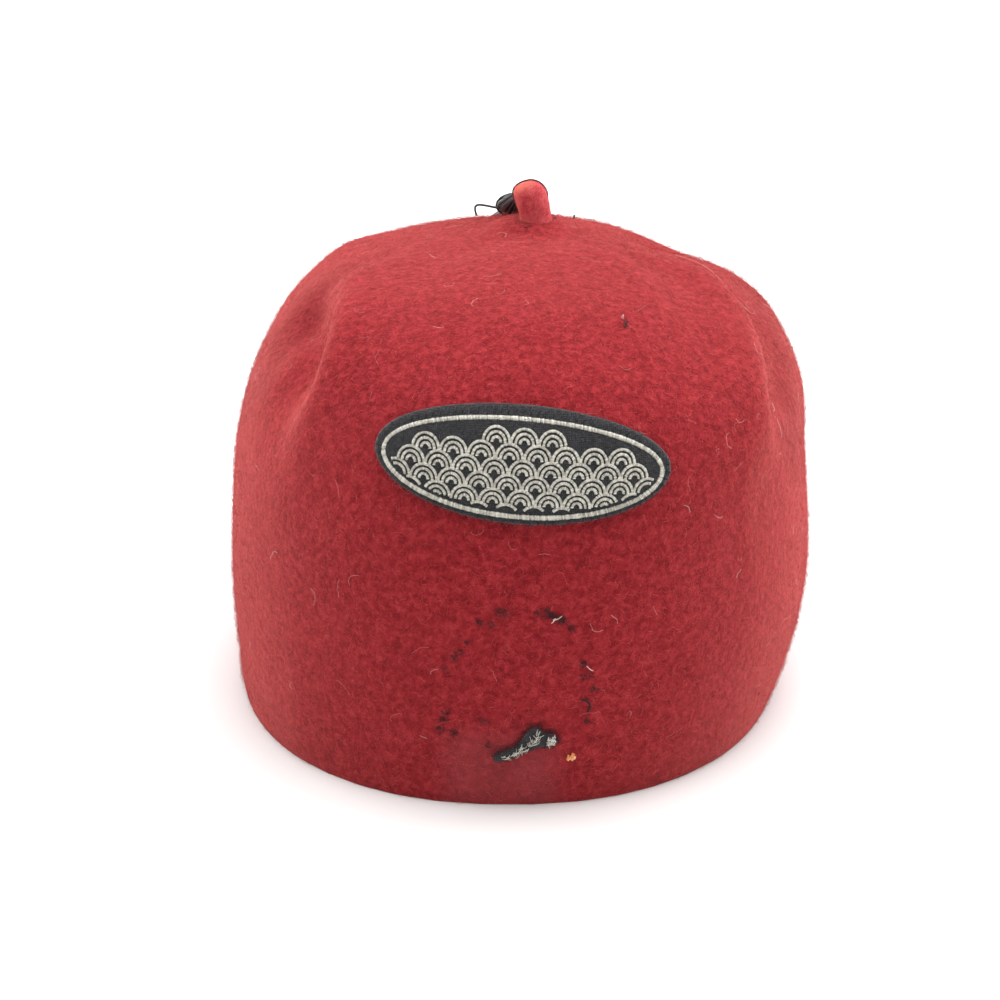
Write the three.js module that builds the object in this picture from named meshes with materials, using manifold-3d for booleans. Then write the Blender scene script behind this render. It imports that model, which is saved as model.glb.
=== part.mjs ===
// A soft wool-felt fez: one hollow crown with its felt stem, its tassel, an oval front patch
// and a torn scrap of cloth on the lower front.
// Millimetres, +Z up. The front faces -Y and the rim stands on z = 0.
import * as THREE from "three";
import Module from "manifold-3d";

const wasm = await Module();
wasm.setup();

// Driving dimensions
const FELT_THICKNESS = 2.5;
const PIECE_GAP = 0.35;
const SECTION_SQUARENESS = 2.2;

// Level sections of the crown from the rim to the peak: half width to each side,
// reach to the front and to the back, and how far the section leans to the right.
const SECTIONS = [
  { z: 0, halfWidth: 81.5, front: 99.8, back: 99.7, shift: -3.6 },
  { z: 10, halfWidth: 83.8, front: 100.6, back: 100.9, shift: -2.4 },
  { z: 36, halfWidth: 86.8, front: 100.3, back: 101.7, shift: 0 },
  { z: 70, halfWidth: 84, front: 97.8, back: 99.2, shift: -0.4 },
  { z: 99, halfWidth: 77.6, front: 88.2, back: 89.8, shift: 1.6 },
  { z: 118.5, halfWidth: 58.5, front: 64.4, back: 65.2, shift: -1.6 },
  { z: 128.5, halfWidth: 29.5, front: 33.4, back: 34.9, shift: -0.8 },
  { z: 132.5, halfWidth: 0, front: 0, back: 0, shift: 3.2 },
];
const PEAK = SECTIONS.length - 1;

// Soft folds of the felt. Each follows a course of [azimuth, section number] points and fades on
// the way. Azimuth is in degrees, 0 at the front and positive to the right.
const FOLDS = [
  { name: "right dip", course: [[122, 5.25], [84, 5.9]], reach: 10, rise: -3.8 },
  { name: "right shoulder", course: [[104, 4.45], [98, 3.9]], reach: 10, rise: 2.4 },
  { name: "left shoulder", course: [[-114, 5.1], [-105, 4.5]], reach: 11, rise: 2 },
  { name: "soft ridge", course: [[56, 5.8], [24, 4.5]], reach: 8, rise: 1.2 },
  { name: "top hollow", course: [[-55, 5.8], [-25, 6.5]], reach: 14, rise: -0.5 },
];

// Creases: the felt rises softly to a sharp crest and falls away on its other side into a hollow.
// Side is 1 where the hollow lies to the left of the course and -1 where it lies to the right.
const CREASES = [
  {
    name: "left crease",
    course: [[-76, 5.4], [-52.5, 5], [-47.5, 4.74], [-44.5, 4.4], [-45.5, 4.1], [-47, 3.8], [-49.5, 3.2]],
    side: -1,
    rise: 3,
    reach: 11,
    depth: 6,
  },
  {
    name: "right crease",
    course: [[89, 5.3], [75, 5], [67, 4.66], [59.5, 4.4], [51.5, 4.06], [50, 3.8], [54, 3.1]],
    side: 1,
    rise: 4,
    reach: 8.5,
    depth: 3.7,
  },
];
const CREST_REACH = { rising: 14, falling: 6 };
const CREASE_FULL_FROM = 0.25;
const CREASE_FULL_TO = 0.6;
const FOLD_MM_PER_DEGREE = 1.5;
const FOLD_MM_PER_LEVEL = 26;
const FOLD_FADE = 0.8;

// Spacing of the crown's columns and rings, closer where the folds are
const COLUMN_BANDS = [
  { from: -180, to: -95, count: 12 },
  { from: -95, to: -42, count: 25 },
  { from: -42, to: 42, count: 11 },
  { from: 42, to: 100, count: 26 },
  { from: 100, to: 180, count: 11 },
];
const RING_BANDS = [
  { from: 0, to: 3, count: 5 },
  { from: 3, to: 5.6, count: 14 },
  { from: 5.6, to: 7, count: 5 },
];

// Felt stem on the peak: sections above the peak, each set off to the right of the peak's axis
const STEM_SIDES = 24;
const STEM_FOOT = { offset: 1.1, halfWidth: 4.9, halfDepth: 4.7 };
const STEM_TOP = { height: 13.5, offset: -0.6 };
const STEM_SECTIONS = [
  { height: 1.7, offset: 1.1, halfWidth: 4.6, halfDepth: 4.3 },
  { height: 5.8, offset: 0.4, halfWidth: 4.6, halfDepth: 4.1 },
  { height: 9, offset: -0.8, halfWidth: 5.1, halfDepth: 4.3 },
  { height: 11.2, offset: -0.9, halfWidth: 4.4, halfDepth: 3.7 },
  { height: 12.8, offset: -0.7, halfWidth: 2.6, halfDepth: 2.2 },
];

// Tassel: a bound head behind the stem, measured from the peak, and locks down the back
const HEAD_SIDES = 14;
const HEAD_START = { x: -2.2, y: 5.6, height: 7.4 };
const HEAD_END = { x: -5.8, y: 33, height: -1.2 };
const HEAD_SECTIONS = [
  { x: -2.6, y: 6.8, height: 7.2, halfWidth: 3, halfHeight: 1.9 },
  { x: -3.8, y: 9.6, height: 5, halfWidth: 4.9, halfHeight: 2.9 },
  { x: -4.6, y: 13, height: 3.5, halfWidth: 5.8, halfHeight: 3.4 },
  { x: -4.9, y: 17.5, height: 2.6, halfWidth: 5.5, halfHeight: 3.3 },
  { x: -5.2, y: 23.5, height: 1.4, halfWidth: 5.2, halfHeight: 3.2 },
  { x: -5.6, y: 30, height: -0.3, halfWidth: 4.6, halfHeight: 2.5 },
];
const LOCK_COUNT = 9;
const LOCK_SIDES = 9;
const LOCK_STEPS = 11;
const LOCK_AZIMUTH = { root: -182, tip: -178, spread: 2.7 };
const LOCK_LEVEL = { root: 6.5, tip: 3.45, unevenness: 0.13 };
const LOCK_CLEARANCE = 0.5;
const LOCK_UNDULATION = { turn: 2.4, lift: 0.6, size: 0.12 };
const LOCK_TANGENT_STEP = 0.02;
const LOCK_SECTIONS = [
  { halfWidth: 1.5, halfHeight: 1.5 },
  { halfWidth: 2.6, halfHeight: 2.1 },
  { halfWidth: 2.9, halfHeight: 2.1 },
  { halfWidth: 2.7, halfHeight: 1.8 },
  { halfWidth: 1.2, halfHeight: 0.9 },
];

// Oval cloth patch sewn to the front, and the torn scrap below it
const PATCH = {
  centre: { x: 0.4, z: 91.5 },
  tilt: -4,
  halfLength: 37.5,
  halfHeight: 13.5,
  thickness: 1.2,
  spokes: 48,
  rings: 4,
};
const SCRAP = {
  centre: { x: 2.4, z: 18.8 },
  tilt: 0,
  thickness: 0.8,
  rings: 2,
};
const SCRAP_OUTLINE = [
  { length: 7.8, height: 0.6 },
  { length: 7.1, height: 2.1 },
  { length: 5.8, height: 3.3 },
  { length: 4.1, height: 2.8 },
  { length: 3.1, height: 4.8 },
  { length: 1.2, height: 5.4 },
  { length: -0.1, height: 4.4 },
  { length: -2, height: 1.8 },
  { length: -2.8, height: -0.3 },
  { length: -5.5, height: -1.8 },
  { length: -8.6, height: -3 },
  { length: -9.7, height: -4 },
  { length: -8.9, height: -5.4 },
  { length: -5.2, height: -4.2 },
  { length: -1.8, height: -2.6 },
  { length: 0.6, height: -1.3 },
  { length: 3, height: -0.6 },
  { length: 5, height: -0.4 },
  { length: 6.8, height: -0.4 },
];

const FELT_RED = "#7d1f27";
const TASSEL_BLACK = "#15151a";
const PATCH_BLACK = "#26272c";

const radians = THREE.MathUtils.degToRad;
const lerp = THREE.MathUtils.lerp;
const smoothstep = THREE.MathUtils.smoothstep;

// A closed solid through a row of rings, from one end point to the other. Seen from the end
// that it runs towards, every ring turns anticlockwise.
function loft(start, rings, end) {
  const sides = rings[0].length;
  const points = [start, ...rings.flat(), end];
  const at = (ring, side) => 1 + ring * sides + (side % sides);
  const last = points.length - 1;
  const faces = [];
  for (let side = 0; side < sides; side++) {
    faces.push(0, at(0, side + 1), at(0, side));
    for (let ring = 0; ring < rings.length - 1; ring++) {
      faces.push(at(ring, side), at(ring, side + 1), at(ring + 1, side));
      faces.push(at(ring, side + 1), at(ring + 1, side + 1), at(ring + 1, side));
    }
    faces.push(at(rings.length - 1, side), at(rings.length - 1, side + 1), last);
  }
  const geometry = new THREE.BufferGeometry().setFromPoints(points);
  geometry.setIndex(faces);
  geometry.computeVertexNormals();
  return geometry;
}

// Numbers from the first band's start to the last band's end, leaving that end out
function spaced(bands) {
  return bands.flatMap(({ from, to, count }) =>
    Array.from({ length: count }, (_, step) => lerp(from, to, step / count)),
  );
}

// Value that runs smoothly through four neighbours, between the middle two
function throughFour(before, from, to, after, part) {
  const leave = (to - before) / 2;
  const arrive = (after - from) / 2;
  const cubic = 2 * from - 2 * to + leave + arrive;
  const square = 3 * to - 3 * from - 2 * leave - arrive;
  return ((cubic * part + square) * part + leave) * part + from;
}

// The crown's section at any level between the rim and the peak
function sectionAt(level) {
  const index = THREE.MathUtils.clamp(Math.floor(level), 0, PEAK - 1);
  const section = {};
  for (const column of Object.keys(SECTIONS[0])) {
    const value = (row) => SECTIONS[row][column];
    const before = index > 0 ? value(index - 1) : 2 * value(0) - value(1);
    const after = index + 2 <= PEAK ? value(index + 2) : 2 * value(PEAK) - value(PEAK - 1);
    section[column] = throughFour(before, value(index), value(index + 1), after, level - index);
  }
  return section;
}

// The crown's smooth outer form, before its folds
function smoothPoint(azimuth, level) {
  const section = sectionAt(level);
  const rounded = (value) => Math.sign(value) * Math.abs(value) ** (2 / SECTION_SQUARENESS);
  const sideways = rounded(Math.sin(radians(azimuth)));
  const forwards = rounded(Math.cos(radians(azimuth)));
  const reach = forwards > 0 ? section.front : section.back;
  const x = section.shift + section.halfWidth * sideways;
  return new THREE.Vector3(x, -reach * forwards, section.z);
}

function smoothNormal(azimuth, level) {
  const azimuthStep = 0.5;
  const levelStep = 0.02;
  const upper = Math.min(level + levelStep, PEAK - levelStep);
  const lower = upper - 2 * levelStep;
  const across = smoothPoint(azimuth + azimuthStep, upper).sub(smoothPoint(azimuth - azimuthStep, upper));
  const upwards = smoothPoint(azimuth, upper).sub(smoothPoint(azimuth, lower));
  return across.cross(upwards).normalize();
}

// How far a place on the skin is from a fold's course, to the left of it or to the right, and
// what share of the course lies behind it
function besideCourse(course, azimuth, level) {
  const flat = ([az, section]) => new THREE.Vector2(az * FOLD_MM_PER_DEGREE, section * FOLD_MM_PER_LEVEL);
  const here = flat([azimuth, level]);
  const points = course.map(flat);
  const lengths = points.slice(1).map((point, index) => point.distanceTo(points[index]));
  let nearest = { distance: Infinity };
  let walked = 0;
  lengths.forEach((length, index) => {
    const run = points[index + 1].clone().sub(points[index]);
    const offset = here.clone().sub(points[index]);
    const along = THREE.MathUtils.clamp(offset.dot(run) / run.lengthSq(), 0, 1);
    const side = Math.sign(run.cross(offset)) || 1;
    const distance = offset.sub(run.clone().multiplyScalar(along)).length();
    if (distance < nearest.distance) {
      nearest = { distance, side, walked: walked + along * length };
    }
    walked += length;
  });
  return { ...nearest, along: nearest.walked / walked };
}

// Height of the folds and creases over the smooth form
function foldRise(azimuth, level) {
  let total = 0;
  for (const fold of FOLDS) {
    const { distance, along } = besideCourse(fold.course, azimuth, level);
    const strength = 1 - FOLD_FADE * smoothstep(along, 0, 1);
    total += fold.rise * strength * Math.exp(-((distance / fold.reach) ** 2));
  }
  for (const crease of CREASES) {
    const { distance, side, along } = besideCourse(crease.course, azimuth, level);
    const strength = smoothstep(along, 0, CREASE_FULL_FROM) * (1 - smoothstep(along, CREASE_FULL_TO, 1));
    const falling = side === crease.side;
    const share = falling ? distance / crease.reach : 0;
    const hollow = crease.depth * share * Math.exp((1 - share ** 2) / 2);
    const crestReach = falling ? CREST_REACH.falling : CREST_REACH.rising;
    const crest = crease.rise * Math.exp(-((distance / crestReach) ** 2));
    total += strength * (crest - hollow);
  }
  return total;
}

// A point on the outer skin, or off it along its normal
function skinPoint(azimuth, level, lift = 0) {
  const normal = smoothNormal(azimuth, level);
  return smoothPoint(azimuth, level).addScaledVector(normal, foldRise(azimuth, level) + lift);
}

const peak = smoothPoint(0, PEAK);

// The felt wall: down the inside from the peak, across the flat rim and up the outside
function crown() {
  const columns = spaced(COLUMN_BANDS);
  const levels = spaced(RING_BANDS);
  const outside = levels.map((level) => columns.map((azimuth) => skinPoint(azimuth, level)));
  const inside = levels.map((level, ring) =>
    columns.map((azimuth, column) => {
      const inwards = smoothNormal(azimuth, level);
      inwards.z = level > 0 ? inwards.z : 0;
      return outside[ring][column].clone().addScaledVector(inwards.normalize(), -FELT_THICKNESS);
    }),
  );
  for (const point of [...inside[0], ...outside[0]]) {
    point.z = 0;
  }
  const insidePeak = peak.clone().setZ(peak.z - FELT_THICKNESS);
  return loft(insidePeak, [...inside.reverse(), ...outside], peak);
}

// Level at which the skin is a given distance from the peak's axis
function levelAtReach(azimuth, reach) {
  let low = PEAK - 2;
  let high = PEAK;
  for (let pass = 0; pass < 24; pass++) {
    const middle = (low + high) / 2;
    const point = skinPoint(azimuth, middle);
    const distance = Math.hypot(point.x - peak.x, point.y - peak.y);
    [low, high] = distance > reach ? [middle, high] : [low, middle];
  }
  return low;
}

function stem() {
  const turns = Array.from({ length: STEM_SIDES }, (_, side) => (2 * Math.PI * side) / STEM_SIDES);
  const outline = ({ offset, halfWidth, halfDepth }) =>
    turns.map((turn) => ({ right: offset + halfWidth * Math.sin(turn), front: halfDepth * Math.cos(turn) }));
  const foot = outline(STEM_FOOT).map(({ right, front }) => {
    const azimuth = THREE.MathUtils.radToDeg(Math.atan2(right, front));
    return skinPoint(azimuth, levelAtReach(azimuth, Math.hypot(right, front)), PIECE_GAP);
  });
  const above = (right, front, height) => new THREE.Vector3(peak.x + right, peak.y - front, peak.z + height);
  const rings = STEM_SECTIONS.map((section) =>
    outline(section).map(({ right, front }) => above(right, front, section.height)),
  );
  return loft(above(0, 0, PIECE_GAP), [foot, ...rings], above(STEM_TOP.offset, 0, STEM_TOP.height));
}

// A ring of a given size about a centre, square to the way that a bundle runs
function bundleRing(centre, forwards, upwards, size, sides) {
  const across = upwards.clone().cross(forwards).normalize();
  const outwards = forwards.clone().cross(across).normalize();
  return Array.from({ length: sides }, (_, side) => {
    const turn = (2 * Math.PI * side) / sides;
    return centre
      .clone()
      .addScaledVector(across, size.halfWidth * Math.cos(turn))
      .addScaledVector(outwards, size.halfHeight * Math.sin(turn));
  });
}

function tasselHead() {
  const place = ({ x, y, height }) => new THREE.Vector3(peak.x + x, peak.y + y, peak.z + height);
  const path = [HEAD_START, ...HEAD_SECTIONS, HEAD_END].map(place);
  const up = new THREE.Vector3(0, 0, 1);
  const rings = HEAD_SECTIONS.map((section, index) => {
    const forwards = path[index + 2].clone().sub(path[index]).normalize();
    return bundleRing(path[index + 1], forwards, up, section, HEAD_SIDES);
  });
  return loft(path[0], rings, path[path.length - 1]);
}

// Size of a lock part of the way from its root to its tip
function lockSize(part, fullness) {
  const place = part * (LOCK_SECTIONS.length - 1);
  const index = Math.min(Math.floor(place), LOCK_SECTIONS.length - 2);
  const [from, to] = [LOCK_SECTIONS[index], LOCK_SECTIONS[index + 1]];
  return {
    halfWidth: fullness * lerp(from.halfWidth, to.halfWidth, place - index),
    halfHeight: fullness * lerp(from.halfHeight, to.halfHeight, place - index),
  };
}

// One lock of threads, lying on the back of the crown. No two are quite alike.
function tasselLock(number) {
  const fromMiddle = number - (LOCK_COUNT - 1) / 2;
  const wave = Math.sin(LOCK_UNDULATION.turn * number);
  const fullness = 1 + LOCK_UNDULATION.size * wave;
  const lift = LOCK_CLEARANCE + LOCK_UNDULATION.lift * (number % 2);
  const tipLevel = LOCK_LEVEL.tip + LOCK_LEVEL.unevenness * wave;
  const onSkin = (part) => {
    const drift = lerp(LOCK_AZIMUTH.root, LOCK_AZIMUTH.tip, part);
    return [drift + fromMiddle * LOCK_AZIMUTH.spread, lerp(LOCK_LEVEL.root, tipLevel, part)];
  };
  const centreAt = (part) => skinPoint(...onSkin(part), lift + lockSize(part, fullness).halfHeight);
  const rings = Array.from({ length: LOCK_STEPS }, (_, step) => {
    const part = step / (LOCK_STEPS - 1);
    const before = centreAt(Math.max(part - LOCK_TANGENT_STEP, 0));
    const after = centreAt(Math.min(part + LOCK_TANGENT_STEP, 1));
    const forwards = after.sub(before).normalize();
    const upwards = smoothNormal(...onSkin(part));
    return bundleRing(centreAt(part), forwards, upwards, lockSize(part, fullness), LOCK_SIDES);
  });
  return loft(centreAt(0), rings, centreAt(1));
}

function solidFrom(geometry) {
  const vertProperties = new Float32Array(geometry.getAttribute("position").array);
  const triVerts = new Uint32Array(geometry.index.array);
  return new wasm.Manifold(new wasm.Mesh({ numProp: 3, vertProperties, triVerts }));
}

function geometryFrom(solid) {
  const { vertProperties, triVerts } = solid.getMesh();
  const geometry = new THREE.BufferGeometry();
  geometry.setAttribute("position", new THREE.BufferAttribute(vertProperties, 3));
  geometry.setIndex(new THREE.BufferAttribute(triVerts, 1));
  geometry.computeVertexNormals();
  return geometry;
}

// Head and locks fused into one bundle
function tassel() {
  const locks = Array.from({ length: LOCK_COUNT }, (_, number) => solidFrom(tasselLock(number)));
  return geometryFrom(locks.reduce((bundle, lock) => bundle.add(lock), solidFrom(tasselHead())));
}

// Azimuth and level of the front point of the skin that is seen at a given x and z
function frontPlace(x, z) {
  const degreesPerMm = 0.5;
  const levelsPerMm = 0.025;
  let azimuth = 0;
  let level = PEAK / 2;
  for (let pass = 0; pass < 30; pass++) {
    const here = skinPoint(azimuth, level);
    azimuth += (x - here.x) * degreesPerMm;
    level = THREE.MathUtils.clamp(level + (z - here.z) * levelsPerMm, 0, PEAK - 1);
  }
  return [azimuth, level];
}

// A thin piece of cloth laid on the front of the crown, its outline given from its centre
function appliedCloth(cloth, outline) {
  const tilt = radians(cloth.tilt);
  const place = (length, height) =>
    frontPlace(
      cloth.centre.x + length * Math.cos(tilt) - height * Math.sin(tilt),
      cloth.centre.z + length * Math.sin(tilt) + height * Math.cos(tilt),
    );
  const places = Array.from({ length: cloth.rings }, (_, ring) => {
    const part = (ring + 1) / cloth.rings;
    return outline.map(({ length, height }) => place(part * length, part * height));
  });
  const lifted = (lift) => places.map((ring) => ring.map((foot) => skinPoint(...foot, lift)));
  const under = lifted(PIECE_GAP);
  const over = lifted(PIECE_GAP + cloth.thickness);
  const middle = place(0, 0);
  const bottom = skinPoint(...middle, PIECE_GAP);
  const top = skinPoint(...middle, PIECE_GAP + cloth.thickness);
  return loft(bottom, [...under, ...over.reverse()], top);
}

function oval({ halfLength, halfHeight, spokes }) {
  return Array.from({ length: spokes }, (_, number) => {
    const angle = (2 * Math.PI * number) / spokes;
    return { length: halfLength * Math.cos(angle), height: halfHeight * Math.sin(angle) };
  });
}

const frontPatch = () => appliedCloth(PATCH, oval(PATCH));
const clothScrap = () => appliedCloth(SCRAP, SCRAP_OUTLINE);

// One named mesh for each piece of the hat
const PIECES = [
  { name: "crown", shape: crown, color: FELT_RED, roughness: 0.95 },
  { name: "stem", shape: stem, color: FELT_RED, roughness: 0.95 },
  { name: "tassel", shape: tassel, color: TASSEL_BLACK, roughness: 0.45 },
  { name: "front_patch", shape: frontPatch, color: PATCH_BLACK, roughness: 0.9 },
  { name: "cloth_scrap", shape: clothScrap, color: PATCH_BLACK, roughness: 0.9 },
];

const fez = new THREE.Group();
for (const { name, shape, color, roughness } of PIECES) {
  const material = new THREE.MeshStandardMaterial({ color, roughness, metalness: 0 });
  const mesh = new THREE.Mesh(shape(), material);
  mesh.name = name;
  fez.add(mesh);
}

export default fez;
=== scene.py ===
# A soft red wool-felt fez with its felt stem, silk tassel, embroidered oval patch and worn lower front.
import math
import random

import bmesh
import bpy
from mathutils import Matrix, Quaternion, Vector, geometry, noise
from mathutils.bvhtree import BVHTree


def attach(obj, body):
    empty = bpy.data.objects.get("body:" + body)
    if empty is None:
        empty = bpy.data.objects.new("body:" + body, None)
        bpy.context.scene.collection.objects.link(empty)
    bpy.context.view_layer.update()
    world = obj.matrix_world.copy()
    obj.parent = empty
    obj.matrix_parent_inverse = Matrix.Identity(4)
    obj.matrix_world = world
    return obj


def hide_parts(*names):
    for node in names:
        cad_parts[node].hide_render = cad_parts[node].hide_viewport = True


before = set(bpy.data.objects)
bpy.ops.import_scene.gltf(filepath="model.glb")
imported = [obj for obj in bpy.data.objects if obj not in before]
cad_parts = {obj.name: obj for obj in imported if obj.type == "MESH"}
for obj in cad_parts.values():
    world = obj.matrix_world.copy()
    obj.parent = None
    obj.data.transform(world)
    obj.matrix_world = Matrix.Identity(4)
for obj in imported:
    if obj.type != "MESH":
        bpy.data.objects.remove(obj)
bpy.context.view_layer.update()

MM = 0.001


def table(columns, *rows):
    """Rows of values, each under its column's name."""
    return [dict(zip(columns.split(), row)) for row in rows]


# Camera and light, with lamps placed in metres
CAMERA_PLACE = Vector((-1.0, -509.4, 241.8)) * MM
CAMERA_AIM = Vector((-6.2, 1.2, 47.4)) * MM
CAMERA_LENS = 64.15
CAMERA_SENSOR = 36.0
CAMERA_NEAREST = 0.01
FLOOR_SIZE = 120.0
WORLD_STRENGTH = 0.19
BACKDROP = {"full": 0.05, "top": 0.2}
OVERHEAD_PANEL = {"spread": 75.0, "back": 9.0, "right": 7.0, "strength": 5.1}
SOFTBOXES = table(
    "name place size power",
    ("left_softbox", (-0.9, 0.45, 0.43), 0.7, 8.2),
    ("right_softbox", (0.9, 0.45, 0.43), 0.7, 7.2),
    ("front_fill", (-0.15, -1.2, 0.75), 0.9, 0.35),
)
SOFTBOX_AIM = Vector((0, 0, 0.06))

# The hat's own places, in millimetres from the middle of the rim, with the front towards -Y
PEAK = Vector((3.2, 0.0, 132.5))
MIDDLE_HEIGHT = 45
HAT_MIDDLE = Vector((0, 0, MIDDLE_HEIGHT)) * MM
BACKWARDS = Vector((0, 1, 0))
DOWNWARDS = Vector((0, 0, -1))

# Where the lines start that find a place on a surface: in front and above in millimetres, and then how far
# out in metres from a middle in the hat and from one in the stem
FRONT_START = -200
TOP_START = 300
ROUND_START = 0.3
STEM_START = 0.03

# Surfaces taken from the solids
MERGE_DISTANCE = 0.01
QUAD_ANGLES = {"face": 50, "shape": 70}
CROWN_LEVELS = 2
STEM_LEVELS = 2
CLOTH_LEVELS = 2
RIM_EDGE = 0.05
RIM_FIRMNESS = 0.75
RIM_BAND = 6.0
FOLD_SOFTENING = {"passes": 6, "share": 0.5}
FELT_LUMPS = table("size rise", (30.0, 0.5), (9.0, 0.22))
STEM_LUMPS = {"size": 3.5, "rise": 0.25}
PATCH_LUMPS = {"size": 5, "rise": 0.12}
SCRAP_LUMPS = {"size": 2.2, "rise": 0.3}

# Painted shade: the felt's colour is darkened in the hollows beside the two creases, by the course of each
PAINTED_SHADE_HOLLOWS = [
    [(-58.5, -18.6, 117.6), (-63.0, -23.9, 111.4), (-67.5, -27.6, 106.1), (-72.3, -30.4, 98.8)],
    [(71.8, 11.5, 108.5), (74.1, -1.9, 105.6), (73.7, -18.7, 103.1), (73.5, -29.8, 99.3),
     (74.2, -37.1, 94.6), (75.3, -41.0, 88.9)],
]
PAINTED_SHADE_REACH = {"full": 0.0, "fades_by": 25.0}
# The colour that the felt is multiplied by at the heart of the painted shade
PAINTED_SHADE_TINT = "#e4e7e7"

# Felt nap: short fibres in dense coats, a thinner coat of long curly ones and a few that stand up.
# A fibre with no rings is a straight spike. Flat and up are its most and least lean, in degrees.
COAT = "name per_mm2 length bend rings flat up"
NAP_COATS = table(
    COAT,
    ("nap_undercoat", 0.38, 1.9, 0.0, 0, 85, 70),
    ("nap_coat", 0.38, 2.4, -0.14, 1, 87, 74),
    ("nap_topcoat", 0.33, 2.9, 0.16, 1, 88, 76),
    ("nap_curls", 0.11, 3.8, 0.16, 2, 89, 79),
    ("nap_halo", 0.13, 1.7, 0.0, 0, 65, 15),
)
FIRST_NAP_SEED = 11
NAP_THICKNESS = 0.09
NAP_CLUMP = 1.5
NAP_SHADE = 17.0
NAP_TONES = {"shade": 0.2, "loose": 0.12}
NAP_LEAST_UP = -0.4
SHORTEST_FIBRE = 0.45
NAP_FLOOR = 0.08
NAP_TURN_UP = 0.3
FIBRE_SIDES = 3
FIBRE_CURL = {"bowed": 0.5, "curled": 0.85, "sway": 3}

# Stem: finer nap than the crown's, on a foot that the crown's felt is drawn up round
FELT_COLLAR = {"x": 3.0, "y": 4.0, "rise": 2.6, "inner": 7.0, "outer": 16.0}
STEM_FLARE = {"from": -0.6, "height": 2.6, "spread": 0.8, "sink": 0.9}
STEM_NAP = table(COAT, ("stem_nap", 3.2, 1.0, 0.18, 1, 87, 68))[0]
STEM_NAP_LEAST_UP = -0.5
STEM_WEAR = {"share": 0.5, "from": 0.4, "to": 1.2}

# Paler panel above the rim at the front
FADED_PANEL = {"left": -19.5, "right": 9.0, "top": 21.0, "edge": 5.0, "share": 0.38}

# Needle marks in a ring on the lower front, and one near the top: dark fibres caught in the felt, by place
# and half width
NEEDLE_MARKS = table(
    "x z size fibres",
    (-4.3, 55.0, 1.8, 20),
    (-10.3, 52.2, 0.7, 9),
    (-6.9, 52.1, 1.5, 8),
    (5.8, 55.0, 1.6, 22),
    (8.3, 54.0, 1.0, 22),
    (11.0, 52.9, 1.2, 22),
    (13.2, 50.7, 0.9, 10),
    (-13.9, 46.8, 0.7, 5),
    (-15.5, 44.0, 0.8, 7),
    (-17.0, 42.2, 0.9, 10),
    (-19.4, 39.0, 0.7, 5),
    (15.9, 40.8, 1.0, 12),
    (17.0, 37.2, 1.2, 12),
    (18.9, 33.3, 0.9, 10),
    (17.3, 24.4, 0.6, 7),
    (-19.2, 26.8, 1.0, 10),
    (-19.6, 24.5, 0.9, 10),
    (-20.4, 21.8, 0.9, 10),
    (-16.9, 20.9, 0.9, 12),
    (-9.0, 24.8, 1.2, 7),
    (-8.0, 18.0, 0.9, 5),
    (27.2, 118.8, 0.4, 7),
)
NEEDLE_FIBRE = {"radius": 0.07, "lift": 0.5}
ORANGE_TUFT = {"x": 13.4, "z": 14.5, "size": 0.8, "fibres": 9}
ORANGE_FIBRE = {"radius": 0.3, "lift": 1.2}
TUFT = {"wide": 1.3, "high": 0.8, "shortest": 0.5, "longest": 1.0, "lowest": 0.4, "highest": 1.0}

# Thread ends and lint that lie on the front, as places along each
THREAD_HOOK = [(15.6, 30.9), (17.2, 30.2), (17.9, 28.9), (17.4, 27.2)]
HOOK_THREAD = {"radius": 0.28, "lift": 0.6, "tone": 0.4}
PALE_ENDS = [
    [(10.4, 54.2), (9.3, 53.7), (8.2, 53.2)],
    [(8.8, 53.6), (8.2, 53.0), (7.8, 52.3)],
    [(16.9, 40.2), (17.7, 39.6), (18.5, 38.9)],
    [(26.2, 119.9), (26.5, 119.7)],
]
PALE_THREAD = {"radius": 0.09, "lift": 1.0, "tone": 0.9}
END_LIFT = 0.5
LINT = {"hairs": 260, "shortest": 1.6, "longest": 7.0, "radius": 0.034, "lift": 0.9, "steps": 9,
        "curl": 0.35, "kink": 0.5, "lowest": -0.3, "least_rise": 0.7, "most_rise": 1.2, "darkness": 2.0}
LONG_HAIR = [(44.0, -5.0), (49.0, -7.0), (55.0, -9.0), (60.5, -11.5), (65.0, -14.0), (66.5, -12.0),
             (65.5, -10.0)]
LONG_HAIR_LIFT = 1.1
LONG_HAIR_TONE = 0.7

# Threads about the stem's foot, as places from the peak
STRAY_LOOP = [(-7.5, 13.0, 2.2), (-10.7, 14.0, 2.6), (-15.2, 14.0, 3.4), (-16.7, 14.0, 3.0),
              (-16.9, 14.0, 1.9), (-16.5, 14.0, 0.2)]
LOOP_THREAD = {"radius": 0.35, "tone": 0.8}
STEM_ENDS = [[(5.6, 2.0, 0.9), (6.4, 2.6, 2.0), (7.0, 2.4, 1.6)], [(12.1, 9.0, 0.4), (12.4, 9.4, 1.4)]]
END_THREAD = {"radius": 0.3, "tone": 0.3}
OVER_THREAD = {"radius": 0.22, "tone": 1.0, "centre": (-0.3, 0.3, 6.5), "end": (-4.6, 4.4, 7.6),
               "first": 8, "last": 168, "step": 8, "sunk": -0.3, "laid": 0.25, "laid_from": 40}
STEM_STITCHES = [(-1.3, -6.0), (-2.4, -6.8)]
STEM_STITCH = {"length": 1.1, "slant": -0.3, "lift": 0.45, "radius": 0.16, "tone": 0.3}

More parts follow.
